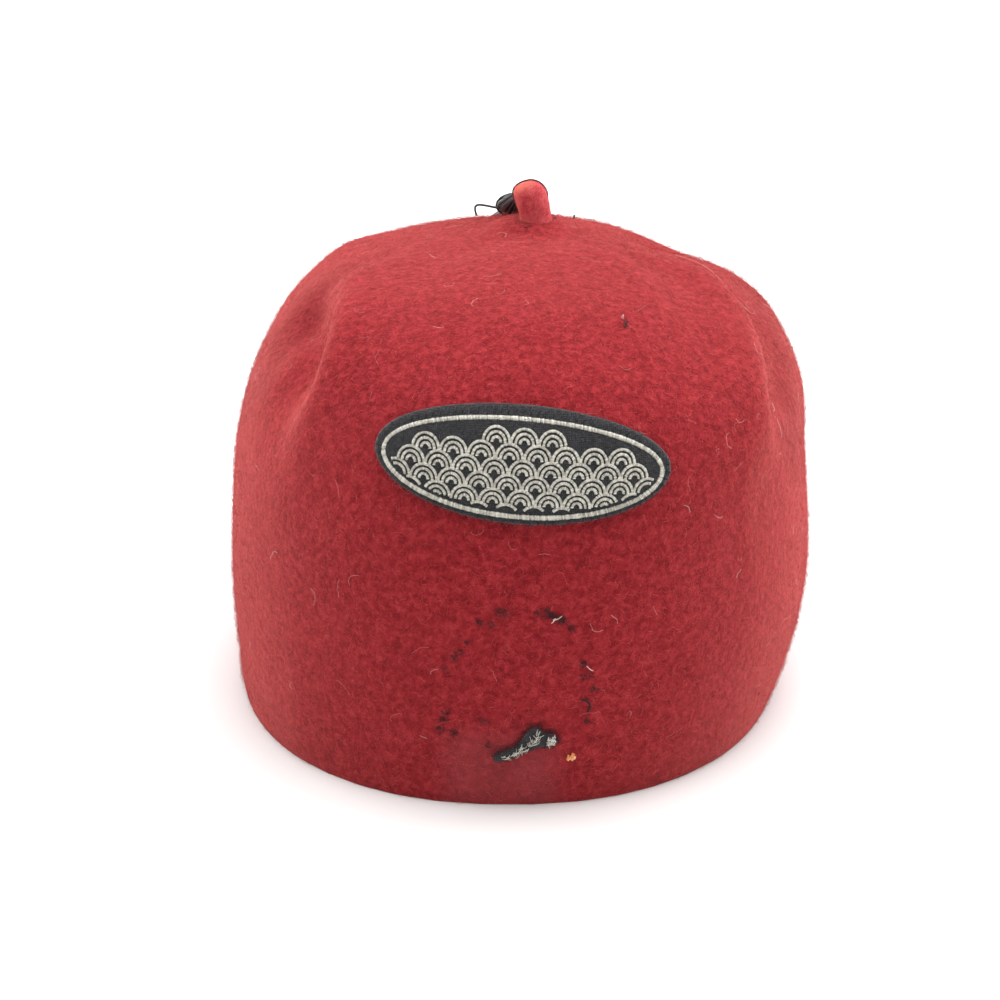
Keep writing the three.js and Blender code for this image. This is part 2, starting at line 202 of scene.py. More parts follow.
# Tassel: the head's sections from the peak, then locks of thread down the back
TASSEL_HEAD = table(
    "x y height half_width half_height",
    (-1.4, 2.6, 7.7, 1.0, 0.7),
    (-2.2, 5.2, 7.4, 1.5, 1.0),
    (-2.6, 6.8, 7.2, 3.0, 1.9),
    (-3.8, 9.6, 5.0, 4.7, 2.7),
    (-4.6, 13.0, 3.5, 5.6, 3.2),
    (-4.9, 17.5, 2.6, 5.3, 3.1),
    (-5.2, 23.5, 1.2, 5.0, 3.0),
)
HEAD_STEPS = 8
HEAD_TWIST = -75.0
HEAD_SPREAD = {"lock": 0.8, "thread": 0.3}
LOCKS = 9
THREADS_PER_LOCK = 32
THREAD_RADIUS = 0.36
THREAD_TAPER = 0.85
FALL_STEPS = 17
FALL_ANGLE = {"top": 65.0, "low": 26.0, "uneven": 1.6, "wave": 2.4, "ragged": 0.9}
FALL_DRIFT = 0.5
LOCK_FAN = {"root": 3.0, "tip": 17.6, "opens_from": 0.12}
LOCK_SIZE = {"half_width": 2.7, "half_height": 1.9, "flatness": 0.85, "clearance": 0.5}
LOCK_FULLNESS = {"root": 0.12, "growth": 0.8}
TASSEL_CENTRE_X = {"neck": -2.0, "top": 0.8, "tip": -3.6, "neck_ends": 0.2}
BINDING = {"turns": 8, "steps_per_turn": 20, "radius": 0.4, "tone": 0.5, "from": 0.783, "to": 0.942,
           "across": 1.07, "above": 1.1}

# Oval patch and its shell embroidery
PATCH = {"x": 0.4, "z": 91.5, "tilt": -4.0, "half_length": 37.5, "half_height": 13.5}
PATCH_TUCK = 1.0
PATCH_NAP = table(COAT, ("patch_nap", 4.6, 1.2, 0.2, 1, 87, 70))[0]
PATCH_NAP_FACES = -0.2
SHELL_PITCH = 7.0
SHELL_ROWS = {"count": 7, "lowest": -11.7}
SHELL_RADII = [3.3, 2.2, 1.1]
SHELL_MARGIN = 3.9
SHELL_STEP = 6
SHELL_LIFT = 0.05
SHORTEST_SHELL_RUN = 5
SHELL_SATIN = {"spacing": 0.33, "length": 0.85, "width": 0.18}
BORDER_SATIN = {"spacing": 0.36, "length": 1.4, "width": 0.2}
BORDER_INSET = 2.3
BORDER_STEP = 3
EDGE_STITCH = {"spacing": 1.9, "length": 2.5, "width": 0.2}
EDGE_INSET = 0.7
STITCH_GUIDE = {"radius": 0.1, "tone": 0.5}
STITCH_SIDES = 4
STITCH_SECTIONS = table("x size", (-0.33, 0.95), (0.33, 0.95))
STITCH_CROWN = {"middle": 0.7, "rise": 0.9, "ends": -0.2}
STITCH_UNEVEN = {"least": 0.86, "most": 1.1}

# Torn scrap of cloth, measured from its middle
SCRAP = {"x": 2.4, "z": 18.8}
SCRAP_OUTLINE = [
    (7.8, 0.6), (7.1, 2.1), (5.8, 3.3), (4.1, 2.8), (3.1, 4.8), (1.2, 5.4), (-0.1, 4.4), (-2.0, 1.8),
    (-2.8, -0.3), (-5.5, -1.8), (-8.6, -3.0), (-9.7, -4.0), (-8.9, -5.4), (-5.2, -4.2), (-1.8, -2.6),
    (0.6, -1.3), (3.0, -0.6), (5.0, -0.4), (6.8, -0.4),
]
SCRAP_SPINE = [(-6.6, -3.9), (-4.2, -2.9), (-2.4, -1.6), (-0.5, -0.5), (1.0, 0.8), (2.0, 2.2), (2.6, 3.6)]
SCRAP_TORN_END = {"x": 5.4, "z": 1.1, "heading": -0.2, "ends": 42}
SPINE_ENDS = {"fewest": 9, "most": 14}
FRAY = "along across turn shortest longest radius"
SPINE_FRAY = table(FRAY, (0.5, 0.4, 0.4, 0.8, 2.0, 0.05))[0]
TORN_FRAY = table(FRAY, (0.45, 0.6, 0.9, 0.5, 1.3, 0.085))[0]
EDGE_FUZZ = {"per_mm": 5, "inset": 0.96, "turn": 0.7, "shortest": 0.4, "longest": 1.3, "radius": 0.06}
FLECK = {"parts": (0.0, 0.3, 0.65, 1.0), "sway": 0.35, "lift": 0.15, "arch": 0.4, "off_cloth": 0.5}

# The materials' patterns: sizes in millimetres, shares of a mix, and the paper's repeats to the metre
FELT_PATTERN = {"clump": 1.9, "fibre": 0.55, "drift": 26}
FELT_GRAIN = {"clump": 0.65, "fibre": 0.35}
THREAD_PLY = 0.3
CLOTH_FLUFF = 1.2
WEAVE_SHARE = 0.4
PAPER_GRAIN = 3.0


def linear(hex_colour):
    """An sRGB hex colour as the linear RGBA that Blender's sockets take."""
    channels = [int(hex_colour[place:place + 2], 16) / 255 for place in (1, 3, 5)]
    return [c / 12.92 if c <= 0.04045 else ((c + 0.055) / 1.055) ** 2.4 for c in channels] + [1.0]


def add_node(tree, kind, inputs=None, **settings):
    """A node with its settings. Each input, by identifier, takes a value, a socket or a node's output."""
    node = tree.nodes.new(kind)
    for name, value in settings.items():
        setattr(node, name, value)
    sockets = {socket.identifier: socket for socket in node.inputs}
    for key, value in (inputs or {}).items():
        if isinstance(value, bpy.types.Node):
            value = next(socket for socket in value.outputs if socket.enabled)
        if isinstance(value, bpy.types.NodeSocket):
            tree.links.new(value, sockets[key])
        else:
            sockets[key].default_value = value
    return node


def smooth_step(value, low, high):
    part = min(max((value - low) / (high - low), 0.0), 1.0)
    return part * part * (3 - 2 * part)


def mix(a, b, part):
    return a + (b - a) * part


# Materials

def new_material(name):
    material = bpy.data.materials.new(name)
    material.use_nodes = True
    tree = material.node_tree
    tree.nodes.clear()
    return material, tree


def finish_material(tree, colour, surface, height=None, depth=0.0, strength=1.0):
    """The shader with its constant values, a colour and, where there is one, a bump of a depth in mm."""
    inputs = {**surface, "Base Color": colour}
    if height is not None:
        inputs["Normal"] = add_node(tree, "ShaderNodeBump",
                                    {"Strength": strength, "Distance": depth * MM, "Height": height})
    shader = add_node(tree, "ShaderNodeBsdfPrincipled", inputs)
    add_node(tree, "ShaderNodeOutputMaterial", {"Surface": shader})


def pattern_scale(size):
    """The texture scale of a pattern whose features have a size in millimetres."""
    return 1 / (size * MM)


def ramp(tree, factor, stops):
    """A colour ramp through (place, hex colour) stops."""
    node = add_node(tree, "ShaderNodeValToRGB", {"Fac": factor})
    elements = node.color_ramp.elements
    while len(elements) < len(stops):
        elements.new(0.5)
    for element, (place, colour) in zip(elements, stops):
        element.position = place
        element.color = linear(colour)
    return node.outputs["Color"]


def with_painted_shade(tree, colour):
    """A colour darkened by painted shade where the felt lies in a hollow beside a crease."""
    painted_shade = add_node(tree, "ShaderNodeAttribute", attribute_name="painted_shade")
    return add_node(tree, "ShaderNodeMix",
                    {"Factor_Float": painted_shade.outputs["Fac"], "A_Color": colour,
                     "B_Color": linear(PAINTED_SHADE_TINT)}, data_type="RGBA", blend_type="MULTIPLY")


def wool_felt(name, dark, middle, light, faded):
    """Wool felt: matted fibres give mottled clumps, a dull surface and a soft pale sheen at the edges."""
    material, tree = new_material(name)
    place = add_node(tree, "ShaderNodeTexCoord").outputs["Object"]
    clumps = add_node(tree, "ShaderNodeTexNoise", {
        "Vector": place, "Scale": pattern_scale(FELT_PATTERN["clump"]), "Detail": 3.0, "Roughness": 0.6,
        "Distortion": 0.4})
    fibres = add_node(tree, "ShaderNodeTexNoise", {
        "Vector": place, "Scale": pattern_scale(FELT_PATTERN["fibre"]), "Detail": 2.0, "Distortion": 2.2})
    drift = add_node(tree, "ShaderNodeTexNoise",
                     {"Vector": place, "Scale": pattern_scale(FELT_PATTERN["drift"]), "Detail": 2.0})
    fine = add_node(tree, "ShaderNodeMath",
                    {"Value": fibres.outputs["Fac"], "Value_001": FELT_GRAIN["fibre"]},
                    operation="MULTIPLY")
    grain = add_node(tree, "ShaderNodeMath", {
        "Value": clumps.outputs["Fac"], "Value_001": FELT_GRAIN["clump"], "Value_002": fine},
        operation="MULTIPLY_ADD")
    mottled = ramp(tree, grain, [(0.36, dark), (0.5, middle), (0.66, light)])
    worn = add_node(tree, "ShaderNodeAttribute", attribute_name="worn")
    uneven = add_node(tree, "ShaderNodeMapRange", {
        "Value": drift.outputs["Fac"], "From Min": 0.3, "From Max": 0.7, "To Min": 0.55, "To Max": 1.0})
    fade = add_node(tree, "ShaderNodeMath", {"Value": worn.outputs["Fac"], "Value_001": uneven},
                    operation="MULTIPLY")
    colour = add_node(tree, "ShaderNodeMix",
                      {"Factor_Float": fade, "A_Color": mottled, "B_Color": linear(faded)},
                      data_type="RGBA")
    surface = {"Roughness": 0.95, "Specular IOR Level": 0.08, "Sheen Weight": 0.8, "Sheen Roughness": 0.42,
               "Sheen Tint": linear("#ff8a84")}
    # The felt's colour takes painted shade in the hollows beside the creases
    finish_material(tree, with_painted_shade(tree, colour), surface, grain, depth=0.7, strength=0.8)
    return material


def wool_fibre(name, stops, faded, sheen):
    """Single wool fibres: each clump a little lighter or darker, with a faint translucent sheen."""
    material, tree = new_material(name)
    tone = add_node(tree, "ShaderNodeAttribute", attribute_name="tone")
    worn = add_node(tree, "ShaderNodeAttribute", attribute_name="worn")
    shade = ramp(tree, tone.outputs["Fac"], stops)
    colour = add_node(tree, "ShaderNodeMix",
                      {"Factor_Float": worn.outputs["Fac"], "A_Color": shade, "B_Color": linear(faded)},
                      data_type="RGBA")
    surface = {"Roughness": 0.85, "Specular IOR Level": 0.08, "Sheen Weight": 0.7, "Sheen Roughness": 0.42,
               "Sheen Tint": linear(sheen)}
    # The fibres' colour takes the same painted shade in the hollows beside the creases
    finish_material(tree, with_painted_shade(tree, colour), surface)
    return material


def spun_thread(name, stops, roughness, gloss):
    """Spun thread: lighter and darker strands with the soft gloss of silk or cotton."""
    material, tree = new_material(name)
    tone = add_node(tree, "ShaderNodeAttribute", attribute_name="tone")
    place = add_node(tree, "ShaderNodeTexCoord").outputs["Object"]
    ply = add_node(tree, "ShaderNodeTexNoise",
                   {"Vector": place, "Scale": pattern_scale(THREAD_PLY), "Detail": 1.0})
    surface = {"Roughness": roughness, "Specular IOR Level": gloss, "Sheen Weight": 0.15,
               "Sheen Roughness": 0.4}
    colour = ramp(tree, tone.outputs["Fac"], stops)
    finish_material(tree, colour, surface, ply.outputs["Fac"], depth=0.08, strength=0.6)
    return material


def woven_wool(name, dark, light, spacing):
    """Plain-woven wool cloth: over-and-under threads with a dry, slightly hairy surface."""
    material, tree = new_material(name)
    place = add_node(tree, "ShaderNodeTexCoord").outputs["Object"]
    # A wave's bands repeat every 2 pi / 20 of its scale
    wave_scale = 2 * math.pi / 20 / (spacing * MM)
    warp, weft = (add_node(tree, "ShaderNodeTexWave",
                           {"Vector": place, "Scale": wave_scale, "Distortion": 3.0, "Detail": 1.0},
                           bands_direction=direction) for direction in ("X", "Z"))
    crossing = add_node(tree, "ShaderNodeMath",
                        {"Value": warp.outputs["Fac"], "Value_001": weft.outputs["Fac"]},
                        operation="MULTIPLY")
    fluff = add_node(tree, "ShaderNodeTexNoise",
                     {"Vector": place, "Scale": pattern_scale(CLOTH_FLUFF), "Detail": 4.0})
    relief = add_node(tree, "ShaderNodeMath",
                      {"Value": crossing, "Value_001": WEAVE_SHARE, "Value_002": fluff.outputs["Fac"]},
                      operation="MULTIPLY_ADD")
    surface = {"Roughness": 0.9, "Specular IOR Level": 0.2, "Sheen Weight": 0.25, "Sheen Roughness": 0.5}
    finish_material(tree, ramp(tree, relief, [(0.3, dark), (0.95, light)]), surface, relief, depth=0.25)
    return material


def studio_paper(name):
    """Seamless studio paper: pale and dull."""
    material, tree = new_material(name)
    place = add_node(tree, "ShaderNodeTexCoord").outputs["Object"]
    grain = add_node(tree, "ShaderNodeTexNoise", {"Vector": place, "Scale": PAPER_GRAIN, "Detail": 2.0})
    colour = ramp(tree, grain.outputs["Fac"], [(0.3, "#dddcdb"), (0.7, "#e1e0df")])
    finish_material(tree, colour, {"Roughness": 0.9})
    return material


# Meshes

def place_object(name, data):
    """An object in the scene for a mesh, a light or a camera."""
    made = bpy.data.objects.new(name, data)
    bpy.context.collection.objects.link(made)
    return made


def show(name, mesh, stands_for=()):
    """Puts a finished mesh in the scene as a piece of the hat."""
    piece = place_object(name, mesh)
    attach(piece, "root")
    if stands_for:
        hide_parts(*stands_for)
    return piece


def set_attribute(mesh, name, values):
    layer = mesh.attributes.new(name, "FLOAT", "POINT")
    layer.data.foreach_set("value", values)


def move_points(mesh, points):
    mesh.vertices.foreach_set("co", [value for point in points for value in point])
    mesh.update()


def evaluated_mesh(mesh, name, add_modifiers):
    """A plain mesh from a mesh with modifiers."""
    holder = place_object(name, mesh)
    add_modifiers(holder)
    view = bpy.context.evaluated_depsgraph_get()
    result = bpy.data.meshes.new_from_object(holder.evaluated_get(view))
    bpy.data.objects.remove(holder)
    result.name = name
    return result


def smooth_copy(node, levels, keep_sharp=None):
    """A node's surface merged, joined into quads and subdivided. keep_sharp picks edges that stay firm."""
    mesh = bpy.data.meshes.new(node + "_copy")
    shape = bmesh.new()
    shape.from_mesh(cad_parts[node].data)
    bmesh.ops.remove_doubles(shape, verts=shape.verts, dist=MERGE_DISTANCE * MM)
    bmesh.ops.join_triangles(shape, faces=shape.faces,
                             angle_face_threshold=math.radians(QUAD_ANGLES["face"]),
                             angle_shape_threshold=math.radians(QUAD_ANGLES["shape"]))
    crease = shape.edges.layers.float.new("crease_edge")
    for edge in shape.edges:
        edge[crease] = RIM_FIRMNESS if keep_sharp and keep_sharp(edge) else 0.0
    for face in shape.faces:
        face.smooth = True
    shape.to_mesh(mesh)
    shape.free()

    def subdivide(holder):
        step = holder.modifiers.new("soften", "SUBSURF")
        step.levels = levels
        step.render_levels = levels

    return evaluated_mesh(mesh, node + "_surface", subdivide)


def roughen(mesh, lumps):
    """Moves a cloth's points in and out by a slight unevenness."""
    moved = []
    for vert in mesh.vertices:
        uneven = noise.noise(vert.co / (lumps["size"] * MM))
        moved.append(vert.co + vert.normal * lumps["rise"] * MM * uneven)
    move_points(mesh, moved)


def surface_tree(mesh):
    shape = bmesh.new()
    shape.from_mesh(mesh)
    tree = BVHTree.FromBMesh(shape)
    shape.free()
    return tree


def lifted(skin, start, way, lift):
    """Where a line meets a surface, lifted off it by so many millimetres, or nothing where it misses."""
    place, normal, _, _ = skin.ray_cast(start, way)
    return None if place is None else place + normal * lift * MM


def strand_mesh(name, strands):
    """Edges along each strand. A strand is a list of (point in metres, radius in mm) and a tone."""
    points, edges, radii, tones = [], [], [], []
    for path, tone in strands:
        start = len(points)
        for point, radius in path:
            points.append(point)
            radii.append(radius * MM)
            tones.append(tone)
        edges += [(start + step, start + step + 1) for step in range(len(path) - 1)]
    mesh = bpy.data.meshes.new(name)
    mesh.from_pydata(points, edges, [])
    set_attribute(mesh, "thick", radii)
    set_attribute(mesh, "tone", tones)
    return mesh


def rounded(places, steps=6):
    """A smooth path through places."""
    points = [Vector(place) for place in places]
    last = len(points) - 1
    path = []
    for index in range(last):
        before, start, end, after = (points[min(max(index + step, 0), last)] for step in (-1, 0, 1, 2))
        for part in (step / steps for step in range(steps)):
            bend = 2 * before - 5 * start + 4 * end - after
            twist = 3 * start - before - 3 * end + after
            path.append((2 * start + (end - before) * part + bend * part ** 2 + twist * part ** 3) / 2)
    return path + [points[-1]]


def close_loops(shape, loops, first_end, last_end):
    """Faces that join a row of loops to each other and to a point at either end."""
    first, last = shape.verts.new(first_end), shape.verts.new(last_end)
    sides = len(loops[0])
    for side in range(sides):
        after = (side + 1) % sides
        shape.faces.new((first, loops[0][after], loops[0][side]))
        for low, high in zip(loops, loops[1:]):
            shape.faces.new((low[side], low[after], high[after], high[side]))
        shape.faces.new((loops[-1][side], loops[-1][after], last))


def shape_object(name, shape):
    """A small shape for a geometry tree to repeat, with its faces turned outwards."""
    bmesh.ops.recalc_face_normals(shape, faces=shape.faces)
    for face in shape.faces:
        face.smooth = True
    mesh = bpy.data.meshes.new(name)
    shape.to_mesh(mesh)
    shape.free()
    return place_object(name, mesh)


def fibre_shape(name, thickness, bend, rings):
    """A closed three-sided fibre of unit length along +Z that bows or curls to one side."""
    shape = bmesh.new()
    curl = FIBRE_CURL["bowed"] if rings == 1 else FIBRE_CURL["curled"]
    turns = [2 * math.pi * side / FIBRE_SIDES for side in range(FIBRE_SIDES)]
    loops = []
    for part in [step / (rings + 1) for step in range(1, rings + 1)]:
        bowed = bend * math.sin(2 * math.pi * curl * part)
        middle = Vector((bowed, bend * (1 - math.cos(FIBRE_CURL["sway"] * part)), part))
        width = thickness * math.sin(math.pi * part) ** 0.5
        spokes = [Vector((math.cos(turn), math.sin(turn), 0)) for turn in turns]
        loops.append([shape.verts.new(middle + spoke * width) for spoke in spokes])
    close_loops(shape, loops, (0, 0, 0), (bend * math.sin(2 * math.pi * curl), 0, 1))
    bmesh.ops.triangulate(shape, faces=shape.faces)
    return shape_object(name, shape)


def spike_shape(name, thickness):
    """A closed three-sided spike of unit length along +Z."""
    shape = bmesh.new()
    bmesh.ops.create_cone(shape, cap_ends=True, cap_tris=False, segments=FIBRE_SIDES, radius1=thickness,
                          radius2=0.0, depth=1.0, matrix=Matrix.Translation((0, 0, 0.5)))
    bmesh.ops.remove_doubles(shape, verts=shape.verts, dist=thickness / 100)
    return shape_object(name, shape)


def stitch_shape(name):
    """A closed stitch of unit length along X and unit half width, standing on z = 0."""
    shape = bmesh.new()
    turns = [2 * math.pi * (side + 0.25) / STITCH_SIDES for side in range(STITCH_SIDES)]
    loops = []
    for section in STITCH_SECTIONS:
        loop = []
        for turn in turns:
            height = STITCH_CROWN["middle"] + STITCH_CROWN["rise"] * math.sin(turn)
            place = section["x"], section["size"] * math.cos(turn), section["size"] * height
            loop.append(shape.verts.new(place))
        loops.append(loop)
    close_loops(shape, loops, (-0.5, 0, STITCH_CROWN["ends"]), (0.5, 0, STITCH_CROWN["ends"]))
    return shape_object(name, shape)


# Geometry trees

def new_tree(name, inputs):
    """A geometry tree with named inputs, each with its kind of socket."""
    tree = bpy.data.node_groups.new(name, "GeometryNodeTree")
    tree.interface.new_socket("Geometry", in_out="OUTPUT", socket_type="NodeSocketGeometry")
    for label, kind in {"Geometry": "Geometry", **inputs}.items():
        tree.interface.new_socket(label, in_out="INPUT", socket_type="NodeSocket" + kind)
    return tree, tree.nodes.new("NodeGroupInput").outputs


def end_tree(tree, geometry_out, material):
    """Ends a tree with its instances made real, smooth and given their material."""
    real = add_node(tree, "GeometryNodeRealizeInstances", {"Geometry": geometry_out})
    soft = add_node(tree, "GeometryNodeSetShadeSmooth", {"Geometry": real})
    dressed = add_node(tree, "GeometryNodeSetMaterial", {"Geometry": soft, "Material": material})
    tree.links.new(dressed.outputs["Geometry"], tree.nodes.new("NodeGroupOutput").inputs["Geometry"])
    return tree


def grow(name, tree, mesh, inputs):
    """The plain mesh that a tree makes of a mesh."""
    def add_tree(holder):
        step = holder.modifiers.new("grow", "NODES")
        step.node_group = tree
        for item in tree.interface.items_tree:
            if item.in_out == "INPUT" and item.name in inputs:
                step[item.identifier] = inputs[item.name]

    return evaluated_mesh(mesh, name, add_tree)


def make_nap_tree():
    """Fibres scattered over a surface by its nap attribute, leaning every way, shaded in clumps."""
    tree, given = new_tree("felt_nap", {
        "Density": "Float", "Fibre": "Object", "Shortest": "Float", "Longest": "Float",
        "Least lean": "Float", "Most lean": "Float", "Clump": "Float", "Shade": "Float", "Seed": "Int",
        "Material": "Material"})
    coat = add_node(tree, "GeometryNodeInputNamedAttribute", {"Name": "nap"}, data_type="FLOAT")
    density = add_node(tree, "ShaderNodeMath", {"Value": coat, "Value_001": given["Density"]},
                       operation="MULTIPLY")
    points = add_node(tree, "GeometryNodeDistributePointsOnFaces",
                      {"Mesh": given["Geometry"], "Density": density, "Seed": given["Seed"]})
    per_clump = add_node(tree, "ShaderNodeMath", {"Value": 1.0, "Value_001": given["Clump"]},
                         operation="DIVIDE")
    clumps = add_node(tree, "ShaderNodeTexNoise", {"Scale": per_clump, "Detail": 2.0})
    per_shade = add_node(tree, "ShaderNodeMath", {"Value": 1.0, "Value_001": given["Shade"]},
                         operation="DIVIDE")
    shades = add_node(tree, "ShaderNodeTexNoise", {"Scale": per_shade, "Detail": 1.0})
    shade = add_node(tree, "ShaderNodeMapRange", {
        "Value": shades.outputs["Fac"], "To Min": -NAP_TONES["shade"], "To Max": NAP_TONES["shade"]})
    loose = add_node(tree, "FunctionNodeRandomValue", {
        "Min_001": -NAP_TONES["loose"], "Max_001": NAP_TONES["loose"], "Seed": given["Seed"]},
        data_type="FLOAT")
    shaded = add_node(tree, "ShaderNodeMath", {"Value": clumps.outputs["Fac"], "Value_001": shade},
                      operation="ADD")
    tone = add_node(tree, "ShaderNodeMath", {"Value": shaded, "Value_001": loose}, operation="ADD")
    toned = add_node(tree, "GeometryNodeStoreNamedAttribute",
                     {"Geometry": points.outputs["Points"], "Name": "tone", "Value": tone},
                     data_type="FLOAT", domain="POINT")
    least = add_node(tree, "ShaderNodeCombineXYZ", {"X": given["Least lean"]})
    most = add_node(tree, "ShaderNodeCombineXYZ", {"X": given["Most lean"], "Z": 2 * math.pi})
    lean = add_node(tree, "FunctionNodeRandomValue", {"Min": least, "Max": most, "Seed": given["Seed"]},
                    data_type="FLOAT_VECTOR")
    turn = add_node(tree, "FunctionNodeEulerToRotation", {"Euler": lean})
    rotation = add_node(tree, "FunctionNodeRotateRotation",
                        {"Rotation": points.outputs["Rotation"], "Rotate By": turn}, rotation_space="LOCAL")
    length = add_node(tree, "FunctionNodeRandomValue", {
        "Min_001": given["Shortest"], "Max_001": given["Longest"], "Seed": given["Seed"]},
        data_type="FLOAT")
    fibre = add_node(tree, "GeometryNodeObjectInfo", {"Object": given["Fibre"], "As Instance": True})
    placed = add_node(tree, "GeometryNodeInstanceOnPoints", {
        "Points": toned, "Instance": fibre.outputs["Geometry"], "Rotation": rotation, "Scale": length})
    return end_tree(tree, placed, given["Material"])


def make_thread_tree():
    """A round thread along every chain of edges, as thick as its thick attribute."""
    tree, given = new_tree("thread_along_path", {"Sides": "Int", "Material": "Material"})
    path = add_node(tree, "GeometryNodeMeshToCurve", {"Mesh": given["Geometry"]})
    ring = add_node(tree, "GeometryNodeCurvePrimitiveCircle", {"Resolution": given["Sides"], "Radius": 1.0})
    thick = add_node(tree, "GeometryNodeInputNamedAttribute", {"Name": "thick"}, data_type="FLOAT")
    tube = add_node(tree, "GeometryNodeCurveToMesh", {
        "Curve": path, "Profile Curve": ring.outputs["Curve"], "Scale": thick, "Fill Caps": True})
    return end_tree(tree, tube, given["Material"])


def make_stitch_tree():
    """Stitches at even steps along every chain of edges, lying on a surface and turned from the path."""
    tree, given = new_tree("stitches_along_path", {
        "Surface": "Object", "Stitch": "Object", "Spacing": "Float", "Length": "Float", "Width": "Float",
        "Turn": "Float", "Looseness": "Float", "Seed": "Int", "Material": "Material"})
    path = add_node(tree, "GeometryNodeMeshToCurve", {"Mesh": given["Geometry"]})
    points = add_node(tree, "GeometryNodeCurveToPoints", {"Curve": path, "Length": given["Spacing"]},
                      mode="LENGTH")
    surface = add_node(tree, "GeometryNodeObjectInfo", {"Object": given["Surface"]})
    facing = add_node(tree, "GeometryNodeInputNormal")
    normal = add_node(tree, "GeometryNodeSampleNearestSurface",
                      {"Mesh": surface.outputs["Geometry"], "Value": facing}, data_type="FLOAT_VECTOR")
    upright = add_node(tree, "FunctionNodeAlignRotationToVector", {"Vector": normal}, axis="Z")
    along = add_node(tree, "FunctionNodeAlignRotationToVector",
                     {"Rotation": upright, "Vector": points.outputs["Tangent"]}, axis="X", pivot_axis="Z")
    slack = add_node(tree, "ShaderNodeMath", {"Value": given["Looseness"], "Value_001": -1.0},
                     operation="MULTIPLY")
    stray = add_node(tree, "FunctionNodeRandomValue", {
        "Min_001": slack, "Max_001": given["Looseness"], "Seed": given["Seed"]}, data_type="FLOAT")
    turn = add_node(tree, "ShaderNodeMath", {"Value": given["Turn"], "Value_001": stray}, operation="ADD")
    about_z = add_node(tree, "ShaderNodeCombineXYZ", {"Z": turn})
    spin = add_node(tree, "FunctionNodeEulerToRotation", {"Euler": about_z})
    rotation = add_node(tree, "FunctionNodeRotateRotation", {"Rotation": along, "Rotate By": spin},
                        rotation_space="LOCAL")
    uneven = add_node(tree, "FunctionNodeRandomValue", {
        "Min_001": STITCH_UNEVEN["least"], "Max_001": STITCH_UNEVEN["most"], "Seed": given["Seed"]},
        data_type="FLOAT")
    length = add_node(tree, "ShaderNodeMath", {"Value": given["Length"], "Value_001": uneven},
                      operation="MULTIPLY")
    size = add_node(tree, "ShaderNodeCombineXYZ", {"X": length, "Y": given["Width"], "Z": given["Width"]})
    tone = add_node(tree, "FunctionNodeRandomValue",
                    {"Min_001": 0.0, "Max_001": 1.0, "Seed": given["Seed"]}, data_type="FLOAT")
    toned = add_node(tree, "GeometryNodeStoreNamedAttribute",
                     {"Geometry": points.outputs["Points"], "Name": "tone", "Value": tone},
                     data_type="FLOAT", domain="POINT")
    stitch = add_node(tree, "GeometryNodeObjectInfo", {"Object": given["Stitch"], "As Instance": True})
    placed = add_node(tree, "GeometryNodeInstanceOnPoints", {
        "Points": toned, "Instance": stitch.outputs["Geometry"], "Rotation": rotation, "Scale": size})
    return end_tree(tree, placed, given["Material"])


NAP_TREE = make_nap_tree()
THREAD_TREE = make_thread_tree()
STITCH_TREE = make_stitch_tree()

FELT = wool_felt("red_wool_felt", dark="#73161d", middle="#91232a", light="#ae363b", faded="#984d50")
STEM_FELT = wool_felt("stem_wool_felt", dark="#b03a41", middle="#c94e54", light="#dd696c", faded="#e88a6c")
NAP_FIBRE = wool_fibre("red_wool_fibre", [(0.33, "#80171e"), (0.5, "#a52a30"), (0.68, "#d25658")],
                       faded="#a4585a", sheen="#ff938c")
STEM_FIBRE = wool_fibre("stem_wool_fibre", [(0.2, "#be454c"), (0.5, "#d46064"), (0.8, "#e98081")],
                        faded="#ea9474", sheen="#ffa39c")
GREY_FIBRE = wool_fibre("grey_wool_fibre", [(0.25, "#1d1c1e"), (0.5, "#3a393b"), (0.75, "#656366")],
                        faded="#4e4d4f", sheen="#9c9a9b")
BLACK_SILK = spun_thread("black_silk_thread", [(0.0, "#0a0a0c"), (0.7, "#1c1c20"), (1.0, "#34343a")],
                         roughness=0.36, gloss=0.5)
BLACK_COTTON = spun_thread("black_cotton_thread", [(0.0, "#0c0c0e"), (1.0, "#232327")],
                           roughness=0.6, gloss=0.3)
SILVER_SILK = spun_thread("silver_silk_thread", [(0.0, "#b9b5a8"), (0.5, "#d8d4c7"), (1.0, "#efece1")],
                          roughness=0.4, gloss=0.5)
PALE_HAIR = spun_thread("pale_wool_hair", [(0.0, "#c4736f"), (0.5, "#dba6a0"), (1.0, "#f4e8e2")],
                        roughness=0.6, gloss=0.3)
ORANGE_COTTON = spun_thread("orange_cotton_thread", [(0.0, "#e08a4c"), (0.6, "#f4b27a"), (1.0, "#fbe0bd")],
                            roughness=0.7, gloss=0.2)
MATTED_COTTON = spun_thread("matted_cotton_thread", [(0.0, "#1a1114"), (1.0, "#4c3034")],
                            roughness=0.8, gloss=0.1)
DARK_RED_COTTON = spun_thread("dark_red_cotton_thread", [(0.0, "#3c0a10"), (1.0, "#6e1a20")],
                              roughness=0.7, gloss=0.2)
BLACK_WOOL = woven_wool("black_woven_wool", dark="#181819", light="#3f3e41", spacing=0.5)


# The crown

def on_rim(edge):
    return all(vert.co.z < RIM_EDGE * MM for vert in edge.verts)


def lumpy(point, normal):
    """Displacement of the felt's slight unevenness, fading out towards the rim's foot."""
    rise = sum(lump["rise"] * noise.noise(point / (lump["size"] * MM)) for lump in FELT_LUMPS)
    return normal * rise * MM * smooth_step(point.z, 0.0, RIM_BAND * MM)


